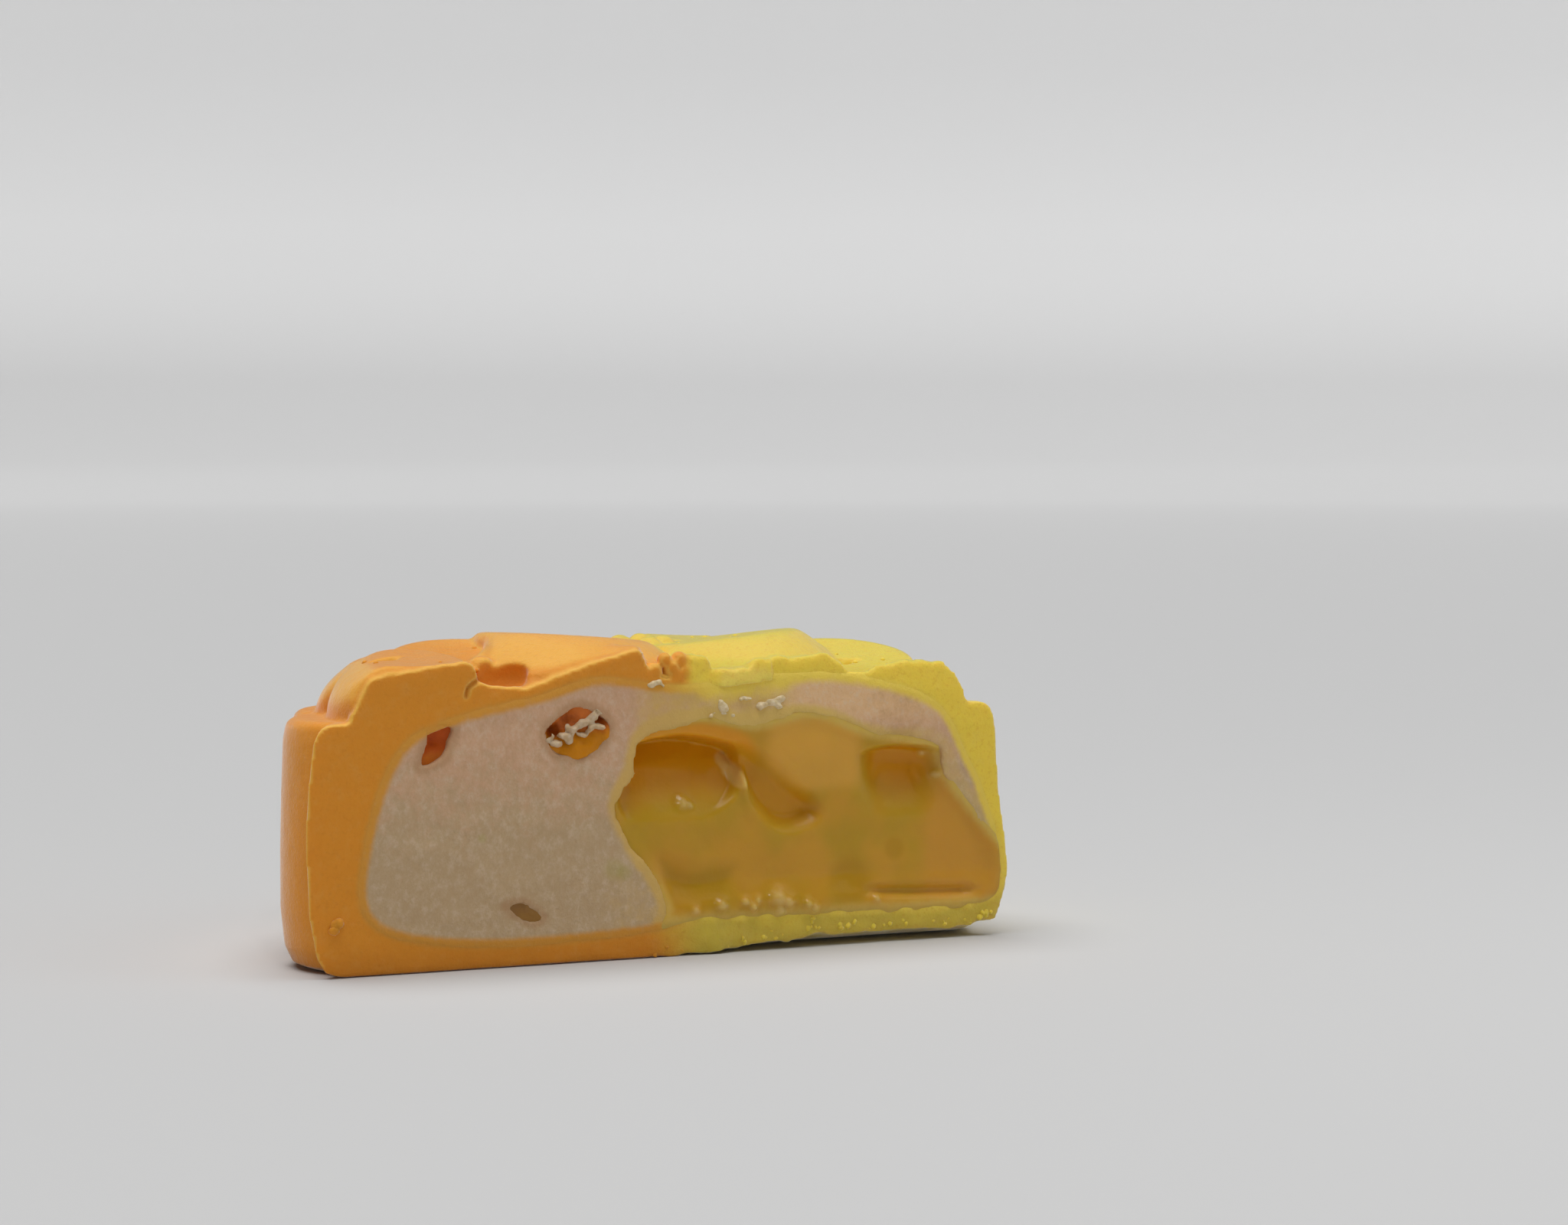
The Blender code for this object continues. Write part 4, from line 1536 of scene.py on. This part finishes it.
@dataclass(frozen=True)
class Bit:
    """One piece of fruit in the paste's cut face."""

    name: str
    bends: tuple[Point, ...]
    depth: float
    recess: float
    dents: tuple[Ball, ...]
    finish: FruitFinish

    def edge(self, x: Array, z: Array) -> Array:
        """Return the distance to the fruit's edge in the plane of the cut."""
        return Outline(self.bends, margin=4.0).sampler().at(x, z)

    def distance(self, x: Array, y: Array, z: Array) -> Array:
        """Return the distance to the fruit, without the cut in front of it."""
        return smooth_max(self.edge(x, z), y - CUT_Y - self.depth, 0.8)

    def front(self, x: Array, z: Array) -> Array:
        """Work out how the fruit's surface is dented.

        Args:
            x: Places along X, in millimetres.
            z: Places along Z.

        Returns:
            How far behind the cut it lies at each place.
        """
        depth = np.full(np.broadcast(x, z).shape, self.recess)
        for dent in self.dents:
            depth = depth + dent[3] * hump(x, z, dent)
        return depth


BITS = (
    Bit("mango_strip",
        ((-26.7, 24.7), (-25.2, 25.0), (-23.9, 24.6), (-24.4, 23.0), (-25.0, 21.6), (-26.6, 20.8),
         (-27.8, 20.8), (-27.2, 22.8)),
        2.2, 0.55, ((-26.0, 23.4, 1.2, 0.3),),
        FruitFinish("mango_strip", (0.52, 0.085, 0.005), (0.34, 0.040, 0.004),
                    (0.60, 0.15, 0.008), 22.0)),
    Bit("mango_chunk",
        ((-14.2, 23.8), (-12.6, 25.4), (-10.8, 26.4), (-8.6, 26.0), (-7.0, 24.8), (-7.0, 23.2),
         (-8.3, 21.8), (-10.9, 21.0), (-13.4, 21.9)),
        2.8, 0.12,
        ((-11.5, 25.3, 0.9, 0.8), (-13.0, 23.9, 0.8, 1.2), (-7.8, 25.0, 0.7, 1.0),
         (-9.8, 23.6, 1.0, 0.5), (-12.0, 22.6, 0.7, 0.4), (-9.9, 21.9, 1.5, -0.25)),
        FruitFinish("mango_chunk", (0.62, 0.16, 0.025), (0.36, 0.075, 0.006),
                    (0.66, 0.24, 0.006), 23.6)),
    Bit("fruit_peel",
        ((-18.6, 6.3), (-16.8, 6.6), (-15.0, 5.4), (-14.5, 4.7), (-15.8, 4.4), (-17.6, 5.4)),
        1.6, 0.05, (),
        FruitFinish("fruit_peel", (0.30, 0.15, 0.045), (0.20, 0.08, 0.018),
                    (0.34, 0.17, 0.04), 5.4)),
)


@dataclass(frozen=True)
class HalfCake:
    """Builds the foods of the half in order, from samples that lie a step apart."""

    step: float
    noise: Noise = Noise(7)
    mould: Mould = Mould()
    cut: Cut = Cut(Noise(11))
    fillings: Fillings = Fillings(mould, noise)
    skin_box: tuple[Place, Place] = ((-42.0, -3.4, -0.9), (42.0, 40.6, 35.1))
    paste_box: tuple[Place, Place] = ((-36.5, -3.4, 0.3), (41.0, 33.5, 32.1))
    custard_box: tuple[Place, Place] = ((-9.5, -3.7, 0.9), (41.0, 23.7, 27.3))
    skin_most: int = 190000
    paste_most: int = 150000
    custard_most: int = 120000
    fruit_most: int = 20000

    def build_skin(self) -> bpy.types.Object:
        """Build the moulded skin with its pocket.

        Returns:
            The skin.
        """
        block = Block(*self.skin_box, self.step)
        x, y, z = block.axes()
        found = self.mould.carved(x, y, z, y - self.cut.plane(x, z))
        torn = fade(z, 5.0, 2.0) * fade(x, -4.0, 6.0) * fade(y, 1.0, -2.2)
        found = found + self.noise.layered(x, y, z, 1.9, 3) * 0.34 * torn
        front = self.cut.plane(x, z) - 0.35 * self.drip(x, z) + 0.55 * self.mould.fold(x, z)
        rough = 0.03 + 0.16 * fade(z, 5.0, 3.0) * fade(x, -2.0, 6.0)
        front = front - 0.38 * self.slab(x, z) + self.noise.layered(x, 5.0, z, 1.6, 3) * rough
        found = smooth_max(found, front - y, 0.4)
        found = smooth_max(found, -self.fillings.pocket(x, y, z), 0.12)
        piece = Piece("snow_skin_dough", block, Slot.SKIN)
        thing = piece.mesh(found, self.skin_most)
        self.mark_skin(thing)
        piece.dress(thing, SkinFinish(), ("snow_skin",))
        return thing

    def mark_skin(self, thing: bpy.types.Object) -> None:
        """Store where the skin's colour changes.

        Args:
            thing: The skin.
        """
        x, y, z = corners_of(thing)
        _, forward, upward = vectors(thing.data.vertex_normals, "vector")
        behind, radius = y - CUT_Y, np.hypot(x, y)
        over = z - self.mould.bed(radius)
        # rim: painted highlight along the knife's lip; edge: painted highlight along the petals'
        # rounded edges.
        rim = fade(-forward, 0.97, 0.80) * fade(behind, 1.1, 0.3) * fade(z, 0.5, 2.0)
        edge = fade(upward, 0.98, 0.85) * fade(upward, 0.1, 0.5) * fade(over, 1.2, 2.0) * 0.7
        store(thing, "rim", np.maximum(rim, edge * fade(behind, 0.8, 1.6)))
        # deep: painted shade in the low creases between the petals.
        deep = fade(over, 1.7, 0.2) * fade(radius, 35.4, 34.6) * fade(behind, 0.6, 1.2)
        store(thing, "deep", deep * fade(upward, -0.2, 0.1))
        # vein: painted shade in the veins' grooves.
        vein = self.mould.veins(x, y) * fade(z, 28.5, 29.5)
        store(thing, "vein", vein * fade(behind, 1.0, 1.6))
        near = fade(self.fillings.mouth(x, z), 1.5, 0.4) * fade(behind, 1.2, 0.6)
        store(thing, "seam", near * (1.0 - self.slab(x, z)))
        store(thing, "wet", self.drip(x, z) * fade(behind, 1.5, 0.5))
        # up: how far a place faces up, for the yellow dough's painted shading by facing.
        store(thing, "up", fade(upward, 0.45, 0.9))
        store(thing, "front", fade(behind, 2.0, 0.4))
        store(thing, "frost", self.slab(x, z) * fade(behind, 0.9, 0.3))
        # crack: painted shade inside the fold.
        store(thing, "crack", self.mould.fold(x, z) * fade(behind, 1.6, 1.0))

    def slab(self, x: Array, z: Array) -> Array:
        """Return where a torn slab of dough stands proud of the cut, between 0 and 1."""
        return fade(x, 4.2, 6.6) * fade(x, 11.95, 11.7) * fade(z, 26.7, 27.5)

    def drip(self, x: Array, z: Array) -> Array:
        """Return where custard has run over the cut's lower edge, between 0 and 1."""
        middle = 4.4 - 0.25 * (z - 2.0)
        return np.exp(-((x - middle) / 2.0) ** 2) * fade(z, 5.2, 3.2)

    def build_paste(self) -> None:
        """Build the white paste with the spaces for the custard and the fruit."""
        block = Block(*self.paste_box, self.step)
        x, y, z = block.axes()
        lap = 0.5 + 1.4 * fade(y, CUT_Y + 1.6, CUT_Y + 0.7)
        found = self.fillings.pocket(x, y, z, lap)
        found = smooth_max(found, -self.fillings.custard(x, y, z), 0.3)
        tear = self.noise.layered(x, y, z, 1.1, 2) * 0.16
        for bit in BITS:
            found = smooth_max(found, -bit.distance(x, y, z) - 0.25 - tear, 0.25)
        relief = self.noise.layered(x, 2.0, z, 2.4, 3) * 0.10
        edge = self.fillings.mouth(x, z)
        front = self.cut.plane(x, z) + relief * fade(edge, -0.2, -1.5) + 0.45 * fade(edge, 0.3, 1.8)
        front = front - 0.05 - 0.06 * fade(edge, -1.2, -0.1)
        found = smooth_max(found, front - y, 0.2)
        piece = Piece("white_paste_filling", block, Slot.PASTE)
        thing = piece.mesh(found, self.paste_most)
        self.mark_paste(thing)
        piece.dress(thing, PasteFinish(), ("white_paste",))

    def mark_paste(self, thing: bpy.types.Object) -> None:
        """Store where the paste's colour changes.

        Args:
            thing: The paste.
        """
        x, _, z = corners_of(thing)
        right = fade(x, 26.0, 30.0)
        rim = fade(self.fillings.custard_edge.at(x, z) - 0.9 * right, 1.8, 0.2)
        store(thing, "rim", rim * (1.0 - 0.5 * right))
        arch = fade(x, 2.0, 5.0) * fade(x, 16.0, 12.0)
        width = 0.8 + fade(z, 24.0, 26.0) * (0.3 * fade(x, 0.0, 8.0) + 1.1 * arch)
        seam = 1.0 + (self.fillings.mouth(x, z) + 0.5 * arch - 0.3) / width
        store(thing, "seam", np.clip(seam, 0.0, 1.0))
        around = np.min([bit.edge(x, z) for bit in BITS], axis=0)
        store(thing, "stain", fade(around, 1.1, 0.0))

    def build_custard(self) -> None:
        """Build the custard with its hollows."""
        block = Block(*self.custard_box, self.step)
        x, y, z = block.axes()
        found = self.fillings.custard(x, y, z) - 1.0
        found = smooth_max(found, self.fillings.pocket(x, y, z, 1.4), 0.2)
        lap = 0.5 * fade(self.fillings.mouth(x, z), 0.2, 1.4)
        front = self.cut.plane(x, z) + self.fillings.custard_depth(x, z) + lap
        found = smooth_max(found, (front - y) * 0.6, 0.4)
        piece = Piece("mango_custard_filling", block, Slot.CUSTARD)
        thing = piece.mesh(found, self.custard_most)
        self.mark_custard(thing)
        piece.dress(thing, CustardFinish(), ("mango_custard",))

    def mark_custard(self, thing: bpy.types.Object) -> None:
        """Store where the custard's colour changes.

        Args:
            thing: The custard.
        """
        shapes = self.fillings
        x, y, z = corners_of(thing)
        behind = np.clip(y - CUT_Y, 0.0, 6.0)
        # depth: how deep the surface lies, which the material turns amber, partly as painted shade.
        store(thing, "depth", np.minimum(shapes.custard_depth(x, z), behind + 0.4))
        slant = x - 29.6 - 0.35 * np.maximum(0.0, z - 12.0)
        store(thing, "facet", fade(slant, -1.2, 1.8))
        arch = fade(shapes.left_hollow.at(x, z), 2.4, 0.9) * fade(z, 17.0, 19.5)
        arch = arch * fade(x, 15.0, 9.0)
        store(thing, "arch", arch)
        patch = fade(shapes.low_patch.at(x, z), 0.5, -1.4) * 0.9
        # trough: painted shade in the trough and the low patch.
        store(thing, "trough", np.maximum(fade(shapes.trough.at(x, z), 0.8, -1.0), patch))
        shore = fade(shapes.custard_edge.at(x, z), -1.2, 0.3) * fade(x, -4.0, 1.0) * (1.0 - arch)
        store(thing, "shore", np.maximum(shore, fade(z, 5.0, 3.4)))
        # clear: the lumps, whose paler colour is partly painted highlight.
        store(thing, "clear", np.max([hump(x, z, lump) for lump in shapes.lumps], axis=0))

    def build_fruit(self) -> None:
        """Build the pieces of fruit in the paste."""
        for bit in BITS:
            bends = np.array(bit.bends)
            (left, low), (right, high) = bends.min(0) - 1.0, bends.max(0) + 1.0
            block = Block((left, -3.4, low), (right, CUT_Y + bit.depth + 0.8, high),
                          self.step / 2.0)
            x, y, z = block.axes()
            lumps = self.noise.layered(x, y, z, 0.9, 2) * 0.10
            front = self.cut.plane(x, z) + bit.front(x, z)
            found = bit.distance(x, y, z) - 0.1 + lumps
            found = smooth_max(found, (front - y) * 0.8 + lumps, 0.2)
            piece = Piece(bit.name + "_flesh", block, Slot.FRUIT)
            thing = piece.mesh(found, self.fruit_most)
            x, _, z = corners_of(thing)
            # depth: how deep each dent lies, drawn darker as painted shade.
            store(thing, "depth", bit.front(x, z) - bit.recess)
            piece.dress(thing, bit.finish, (bit.name,))


@dataclass(frozen=True)
class Grains:
    """Many small rough balls on given points, made by Geometry Nodes."""

    name: str
    detail: int
    roughness: float
    flatness: float
    seed: int
    lump: float = 0.4

    SOCKETS = (("Points", "Geometry"), ("Detail", "Int"), ("Unevenness", "Float"),
               ("Flatness", "Float"), ("Seed", "Int"), ("Food", "Material"))
    LINKS = (
        ("start", "Points", "grain", "Points"), ("start", "Detail", "ball", "Subdivisions"),
        ("ball", "Mesh", "grain", "Instance"), ("start", "Seed", "turn", "Seed"),
        ("turn", "Value", "grain", "Rotation"), ("start", "Flatness", "squash", 1),
        ("squash", 0, "stretch", 0), ("size", "Attribute", "stretch", "Scale"),
        ("stretch", 0, "grain", "Scale"), ("grain", "Instances", "real", "Geometry"),
        ("lumps", "Color", "centred", 0), ("centred", 0, "push", 0),
        ("start", "Unevenness", "push", "Scale"), ("push", 0, "move", "Offset"),
        ("real", "Geometry", "move", "Geometry"), ("move", "Geometry", "smooth", "Geometry"),
        ("smooth", "Geometry", "dress", "Geometry"), ("start", "Food", "dress", "Material"),
        ("dress", "Geometry", "end", "Grains"))

    def nodes(self) -> dict[str, tuple[str, dict[str, Any], dict[Any, Any]]]:
        """List the tree's nodes.

        Returns:
            Each node's type, its settings and the values of its inputs, by a short name.
        """
        return {
            "start": ("NodeGroupInput", {}, {}),
            "end": ("NodeGroupOutput", {}, {}),
            "size": ("GeometryNodeInputNamedAttribute", {"data_type": "FLOAT"}, {"Name": "size"}),
            "turn": ("FunctionNodeRandomValue", {"data_type": "FLOAT_VECTOR"},
                     {1: (math.tau,) * 3}),
            "squash": ("ShaderNodeCombineXYZ", {}, {0: 1.0, 2: 1.0}),
            "stretch": ("ShaderNodeVectorMath", {"operation": "SCALE"}, {}),
            "ball": ("GeometryNodeMeshIcoSphere", {}, {"Radius": 1.0}),
            "grain": ("GeometryNodeInstanceOnPoints", {}, {}),
            "real": ("GeometryNodeRealizeInstances", {}, {}),
            "lumps": ("ShaderNodeTexNoise", {}, {"Scale": 1.0 / (self.lump * MM)}),
            "centred": ("ShaderNodeVectorMath", {"operation": "SUBTRACT"}, {1: (0.5, 0.5, 0.5)}),
            "push": ("ShaderNodeVectorMath", {"operation": "SCALE"}, {}),
            "move": ("GeometryNodeSetPosition", {}, {}),
            "smooth": ("GeometryNodeSetShadeSmooth", {}, {}),
            "dress": ("GeometryNodeSetMaterial", {}, {}),
        }

    def tree(self) -> bpy.types.NodeTree:
        """Build the node tree that puts a grain on each point.

        Returns:
            The tree, with inputs for the grains' sizes, seed and food.
        """
        made = bpy.data.node_groups.new(self.name + "_grains", "GeometryNodeTree")
        for name, kind in self.SOCKETS:
            made.interface.new_socket(name, in_out="INPUT", socket_type="NodeSocket" + kind)
        made.interface.new_socket("Grains", in_out="OUTPUT", socket_type="NodeSocketGeometry")
        nodes = {}
        for name, (kind, settings, values) in self.nodes().items():
            nodes[name] = made.nodes.new(kind)
            for setting, value in settings.items():
                setattr(nodes[name], setting, value)
            for socket, value in values.items():
                nodes[name].inputs[socket].default_value = value
        for giver, output, taker, socket in self.LINKS:
            made.links.new(nodes[giver].outputs[output], nodes[taker].inputs[socket])
        return made

    def build(self, places: Sequence[Place], sizes: Sequence[float],
              material: bpy.types.Material, slot: Slot) -> bpy.types.Object:
        """Build the grains as one plain mesh.

        Args:
            places: Centre of each grain, in millimetres.
            sizes: Radius of each grain, in millimetres.
            material: The food that they are made of.
            slot: The record's slot; not used.

        Returns:
            The object.
        """
        thing = put(self.name, mesh_of(self.name, (np.asarray(places) * MM).tolist(), []))
        store(thing, "size", np.asarray(sizes) * MM)
        step = thing.modifiers.new("grains", "NODES")
        step.node_group = self.tree()
        given = {"Detail": self.detail, "Unevenness": self.roughness * MM,
                 "Flatness": self.flatness, "Seed": self.seed, "Food": material}
        for socket in step.node_group.interface.items_tree:
            if socket.in_out == "INPUT" and socket.name in given:
                step[socket.identifier] = given[socket.name]
        made = applied_mesh(thing)
        thing.modifiers.remove(step)
        thing.data = made
        settle(thing)
        return thing


@dataclass(frozen=True)
class Shards:
    """Torn flakes that lie on the cut face.

    Each flake gives its place in x and z, half its length and width, and its turn in degrees.
    """

    name: str
    flakes: tuple[tuple[float, float, float, float, float], ...]
    ragged: float
    finish: CrumbFinish
    step: float = 0.13
    thick: float = 0.42
    margin: float = 1.8
    proud: float = 0.9
    sunk: float = 1.6
    most: int = 60000

    def build(self, cake: HalfCake) -> bpy.types.Object:
        """Build the flakes as one mesh.

        Args:
            cake: The half that they lie on.

        Returns:
            The object.
        """
        middles = np.array(self.flakes)[:, :2]
        left, low = middles.min(0) - self.margin
        right, high = middles.max(0) + self.margin
        block = Block((left, CUT_Y - self.proud, low), (right, CUT_Y + self.sunk, high), self.step)
        x, y, z = block.axes()
        found = np.full(np.broadcast(x, y, z).shape, FAR)
        deep = (y - cake.cut.plane(x, z) - 0.1) / self.thick
        for flake_x, flake_z, long, wide, turn in self.flakes:
            turned = math.radians(turn)
            away_x, away_z = x - flake_x, z - flake_z
            along = (away_x * math.cos(turned) + away_z * math.sin(turned)) / long
            aside = (away_z * math.cos(turned) - away_x * math.sin(turned)) / wide
            share = np.sqrt(along ** 2 + aside ** 2 + deep ** 2)
            found = np.minimum(found, (share - 1.0) * wide)
        found = found + cake.noise.layered(x, y, z, 0.8, 3) * self.ragged
        piece = Piece(self.name, block, Slot.PASTE)
        thing = piece.mesh(found, self.most)
        piece.dress(thing, self.finish, ())
        return thing


@dataclass(frozen=True)
class Crumbs:
    """The small things: dots that the mould left, flakes, and crumbs that the knife dragged."""

    cake: HalfCake
    random: np.random.Generator
    dots: int = 4
    dot_reach: float = 34.5
    dragged: int = 46
    left_crumbs: tuple[Point, ...] = ((-36.7, 5.3), (-36.9, 4.8), (-36.4, 5.6))
    left_size: float = 0.6
    fallen: tuple[Point, ...] = ((16.3, 2.6), (16.8, 2.1), (15.9, 1.9), (16.4, 3.0))

    def mould_dots(self, dough: bpy.types.Material) -> None:
        """Put a few tiny dots on every petal, as air holes in the mould leave.

        Args:
            dough: The skin's material.
        """
        places, sizes = [], []
        for petal in self.cake.mould.petals:
            for _ in range(self.dots):
                angle = self.random.uniform(0.0, math.tau)
                share = math.sqrt(self.random.uniform(0.05, 0.45))
                heading = math.radians(petal.heading)
                along = petal.along * share * math.cos(angle)
                across = petal.across * share * math.sin(angle)
                x = petal.x + along * math.cos(heading) - across * math.sin(heading)
                y = petal.y + along * math.sin(heading) + across * math.cos(heading)
                top = self.free_top(petal, x, y)
                if top is None:
                    continue
                size = self.random.uniform(0.20, 0.38)
                places.append((x, y, top - 0.35 * size))
                sizes.append(size)
        Grains("mould_dots", 2, 0.03, 1.0, 3).build(places, sizes, dough, Slot.SKIN)

    def free_top(self, petal: Petal, x: float, y: float) -> float | None:
        """Find a petal's top at a place that no other petal, the cut or the wall takes up.

        Args:
            petal: The petal.
            x: The place along X, in millimetres.
            y: The place along Y.

        Returns:
            The top's height, or None where the place isn't free.
        """
        mould, place = self.cake.mould, (np.array(x), np.array(y))
        top = float(mould.petal_top(petal, *place))
        tops = [float(mould.petal_top(other, *place)) for other in mould.petals
                if sum(value ** 2 for value in mould.petal_axes(other, x, y)) < 1.0]
        taken = y < CUT_Y + 0.8 or top < max(tops) - 0.05 or math.hypot(x, y) > self.dot_reach
        return None if taken else top

    def on_cut(self, x: Array, z: Array, behind: float) -> Array:
        """Return places some way behind the cut face."""
        return np.stack([x, self.cake.cut.plane(x, z) + behind, z], axis=1)

    def paste_crumbs(self) -> None:
        """Put torn shards of paste across the mango chunk and pomelo flakes near the custard."""
        white = CrumbFinish("white_crumbs", (0.66, 0.51, 0.34), (0.56, 0.38, 0.20))
        Shards("paste_shards", (
            (-13.4, 23.2, 0.8, 0.30, 25.0), (-12.7, 22.7, 0.9, 0.28, -20.0),
            (-12.1, 23.5, 0.9, 0.34, 5.0), (-11.3, 23.2, 0.8, 0.45, 50.0),
            (-10.7, 24.1, 0.9, 0.40, 35.0), (-10.2, 23.4, 0.7, 0.35, -15.0),
            (-9.7, 24.6, 1.0, 0.45, 20.0), (-9.1, 24.0, 0.7, 0.30, 70.0),
            (-8.6, 25.2, 0.9, 0.34, 15.0), (-8.0, 25.6, 0.6, 0.35, -30.0),
            (-8.3, 24.3, 0.8, 0.24, -10.0), (-11.7, 24.2, 0.5, 0.28, 60.0)),
            0.26, white).build(self.cake)
        flake = CrumbFinish("pomelo_flakes", (0.78, 0.64, 0.42), (0.66, 0.49, 0.24), 0.35)
        Shards("pomelo_flakes", (
            (6.0, 25.7, 0.9, 0.45, -50.0), (6.6, 24.9, 0.7, 0.35, -20.0),
            (10.8, 25.8, 0.7, 0.30, 10.0), (11.9, 26.2, 1.2, 0.45, 15.0),
            (12.4, 25.7, 0.6, 0.28, -40.0), (4.4, 24.9, 0.5, 0.2, 30.0),
            (8.4, 26.6, 0.5, 0.2, 0.0), (-1.9, 28.3, 0.8, 0.35, 10.0),
            (-3.3, 31.6, 0.35, 0.2, 60.0)),
            0.24, flake).build(self.cake)

    def base_crumbs(self, dough: bpy.types.Material) -> None:
        """Put torn crumbs of dough along the cut's lower edge and low on its left.

        Args:
            dough: The skin's material.
        """
        x = self.random.uniform(-3.0, 38.0, self.dragged)
        lift = self.cake.mould.lift(x, np.full(self.dragged, CUT_Y))
        z = lift + 0.35 + np.abs(self.random.normal(0.0, 0.45, self.dragged))
        placed = np.array(self.left_crumbs + self.fallen)
        places = self.on_cut(np.append(x, placed[:, 0]), np.append(z, placed[:, 1]), 0.20)
        sizes = self.random.uniform(0.18, 0.42, len(places))
        left = slice(self.dragged, self.dragged + len(self.left_crumbs))
        sizes[left] = self.left_size
        places[left, 1] -= 0.25
        Grains("dough_crumbs", 2, 0.45, 0.7, 9).build(places, sizes, dough, Slot.SKIN)


class LightKind(Enum):
    """Kinds of light in the studio."""

    WIDE = "SUN"
    NEAR = "AREA"


@dataclass(frozen=True)
class Studio:
    """The pale floor with its upturned edge, the soft lights and the camera, in metres."""

    floor_rings: tuple[Point, ...] = (
        (0.5, 0.0), (1.5, 0.0), (2.6, 0.0), (2.8, 0.03), (2.95, 0.10), (3.05, 0.22), (3.1, 0.40),
        (3.1, 0.72))
    floor_sides: int = 96
    floor_gap: float = 0.00005
    floor_grey: float = 0.56
    edge_glow: float = 0.36
    sky_light: float = 0.03
    lens: float = 85.0
    sensor: float = 36.0
    camera_place: Place = (-0.15686, -0.35144, 0.0543)
    camera_tilt: float = 87.223
    camera_turn: float = -25.941
    lit_place: Place = (0.03, 0.0, 0.015)

    def floor(self) -> None:
        """Lay a wide round pale floor that turns up softly at its far edge."""
        points, faces = [], [tuple(range(self.floor_sides))]
        for radius, height in self.floor_rings:
            for side in range(self.floor_sides):
                angle = math.tau * side / self.floor_sides
                points.append((radius * math.cos(angle), radius * math.sin(angle),
                               height - self.floor_gap))
        for start in range(0, len(points) - self.floor_sides, self.floor_sides):
            for side in range(self.floor_sides):
                first, second = start + side, start + (side + 1) % self.floor_sides
                faces.append((first, first + self.floor_sides, second + self.floor_sides, second))
        mesh = mesh_of("floor", points, faces)
        mesh.shade_smooth()
        floor = put("floor", mesh)
        graph = Graph("pale_floor")
        upturned = (graph.axis("Z") * MM).fade(0.0, 0.25)
        mesh.materials.append(graph.surface({
            "Base Color": (*(self.floor_grey,) * 3, 1.0),
            "Roughness": 0.9,
            "Specular IOR Level": 0.1,
            "Emission Color": graph.mix(upturned, (0.0, 0.0, 0.0), (self.edge_glow,) * 3),
            "Emission Strength": 1.0,
        }))

    def light(self, name: str, kind: LightKind, strength: float,
              toward: Vector) -> bpy.types.Object:
        """Hang one light.

        Args:
            name: Its name.
            kind: Whether it is wide and far away, or near.
            strength: Light on a surface that faces a wide one, or a near one's watts.
            toward: Direction from what it lights to the light.

        Returns:
            The light.
        """
        data = bpy.data.lights.new(name, kind.value)
        data.energy = strength
        lamp = put(name, data)
        lamp.rotation_euler = toward.to_track_quat("Z", "Y").to_euler()
        return lamp

    def wide_light(self, name: str, toward: Place, strength: float, spread: float) -> None:
        """Hang one very wide soft light far away, its spread in degrees."""
        lamp = self.light(name, LightKind.WIDE, strength, Vector(toward))
        lamp.data.angle = math.radians(spread)

    def near_light(self, name: str, place: Place, size: float, power: float) -> None:
        """Stand one weak square light near the cake, turned to its cut.

        Args:
            name: Its name.
            place: Where it stands, in metres.
            size: Its width, in metres.
            power: Its power, in watts.
        """
        away = Vector(place) - Vector(self.lit_place)
        lamp = self.light(name, LightKind.NEAR, power, away)
        lamp.data.shape = "SQUARE"
        lamp.data.size = size
        lamp.location = place

    def sky(self) -> None:
        """Surround the scene with dim even light."""
        world = bpy.data.worlds.new("soft_room")
        world.use_nodes = True
        shade = world.node_tree.nodes["Background"]
        shade.inputs["Color"].default_value = (1.0, 1.0, 1.0, 1.0)
        shade.inputs["Strength"].default_value = self.sky_light
        bpy.context.scene.world = world

    def camera(self) -> None:
        """Stand the camera where the photograph was taken from."""
        data = bpy.data.cameras.new("camera")
        data.lens = self.lens
        data.sensor_width = self.sensor
        data.clip_start = 0.01
        camera = put("camera", data)
        camera.location = self.camera_place
        camera.rotation_euler = Euler((math.radians(self.camera_tilt), 0.0,
                                       math.radians(self.camera_turn)))
        bpy.context.scene.camera = camera

    def build(self) -> None:
        """Set up the whole studio."""
        self.floor()
        self.sky()
        self.camera()
        self.wide_light("high_light", (-0.10, 0.06, 1.0), 3.0, 55.0)
        self.near_light("side_light", (0.17, -0.13, 0.20), 0.16, 0.065)
        self.near_light("glint_light", (-0.12, -0.45, 0.42), 0.02, 0.16)
        bpy.context.scene.view_settings.view_transform = "Standard"


def main() -> None:
    """Build the half mooncake in its studio."""
    cake = HalfCake(FULL_STEP)
    dough = cake.build_skin().data.materials[0]
    cake.build_paste()
    cake.build_custard()
    cake.build_fruit()
    crumbs = Crumbs(cake, np.random.default_rng(23))
    crumbs.mould_dots(dough)
    crumbs.paste_crumbs()
    crumbs.base_crumbs(dough)
    Studio().build()


if __name__ == "__main__":
    main()
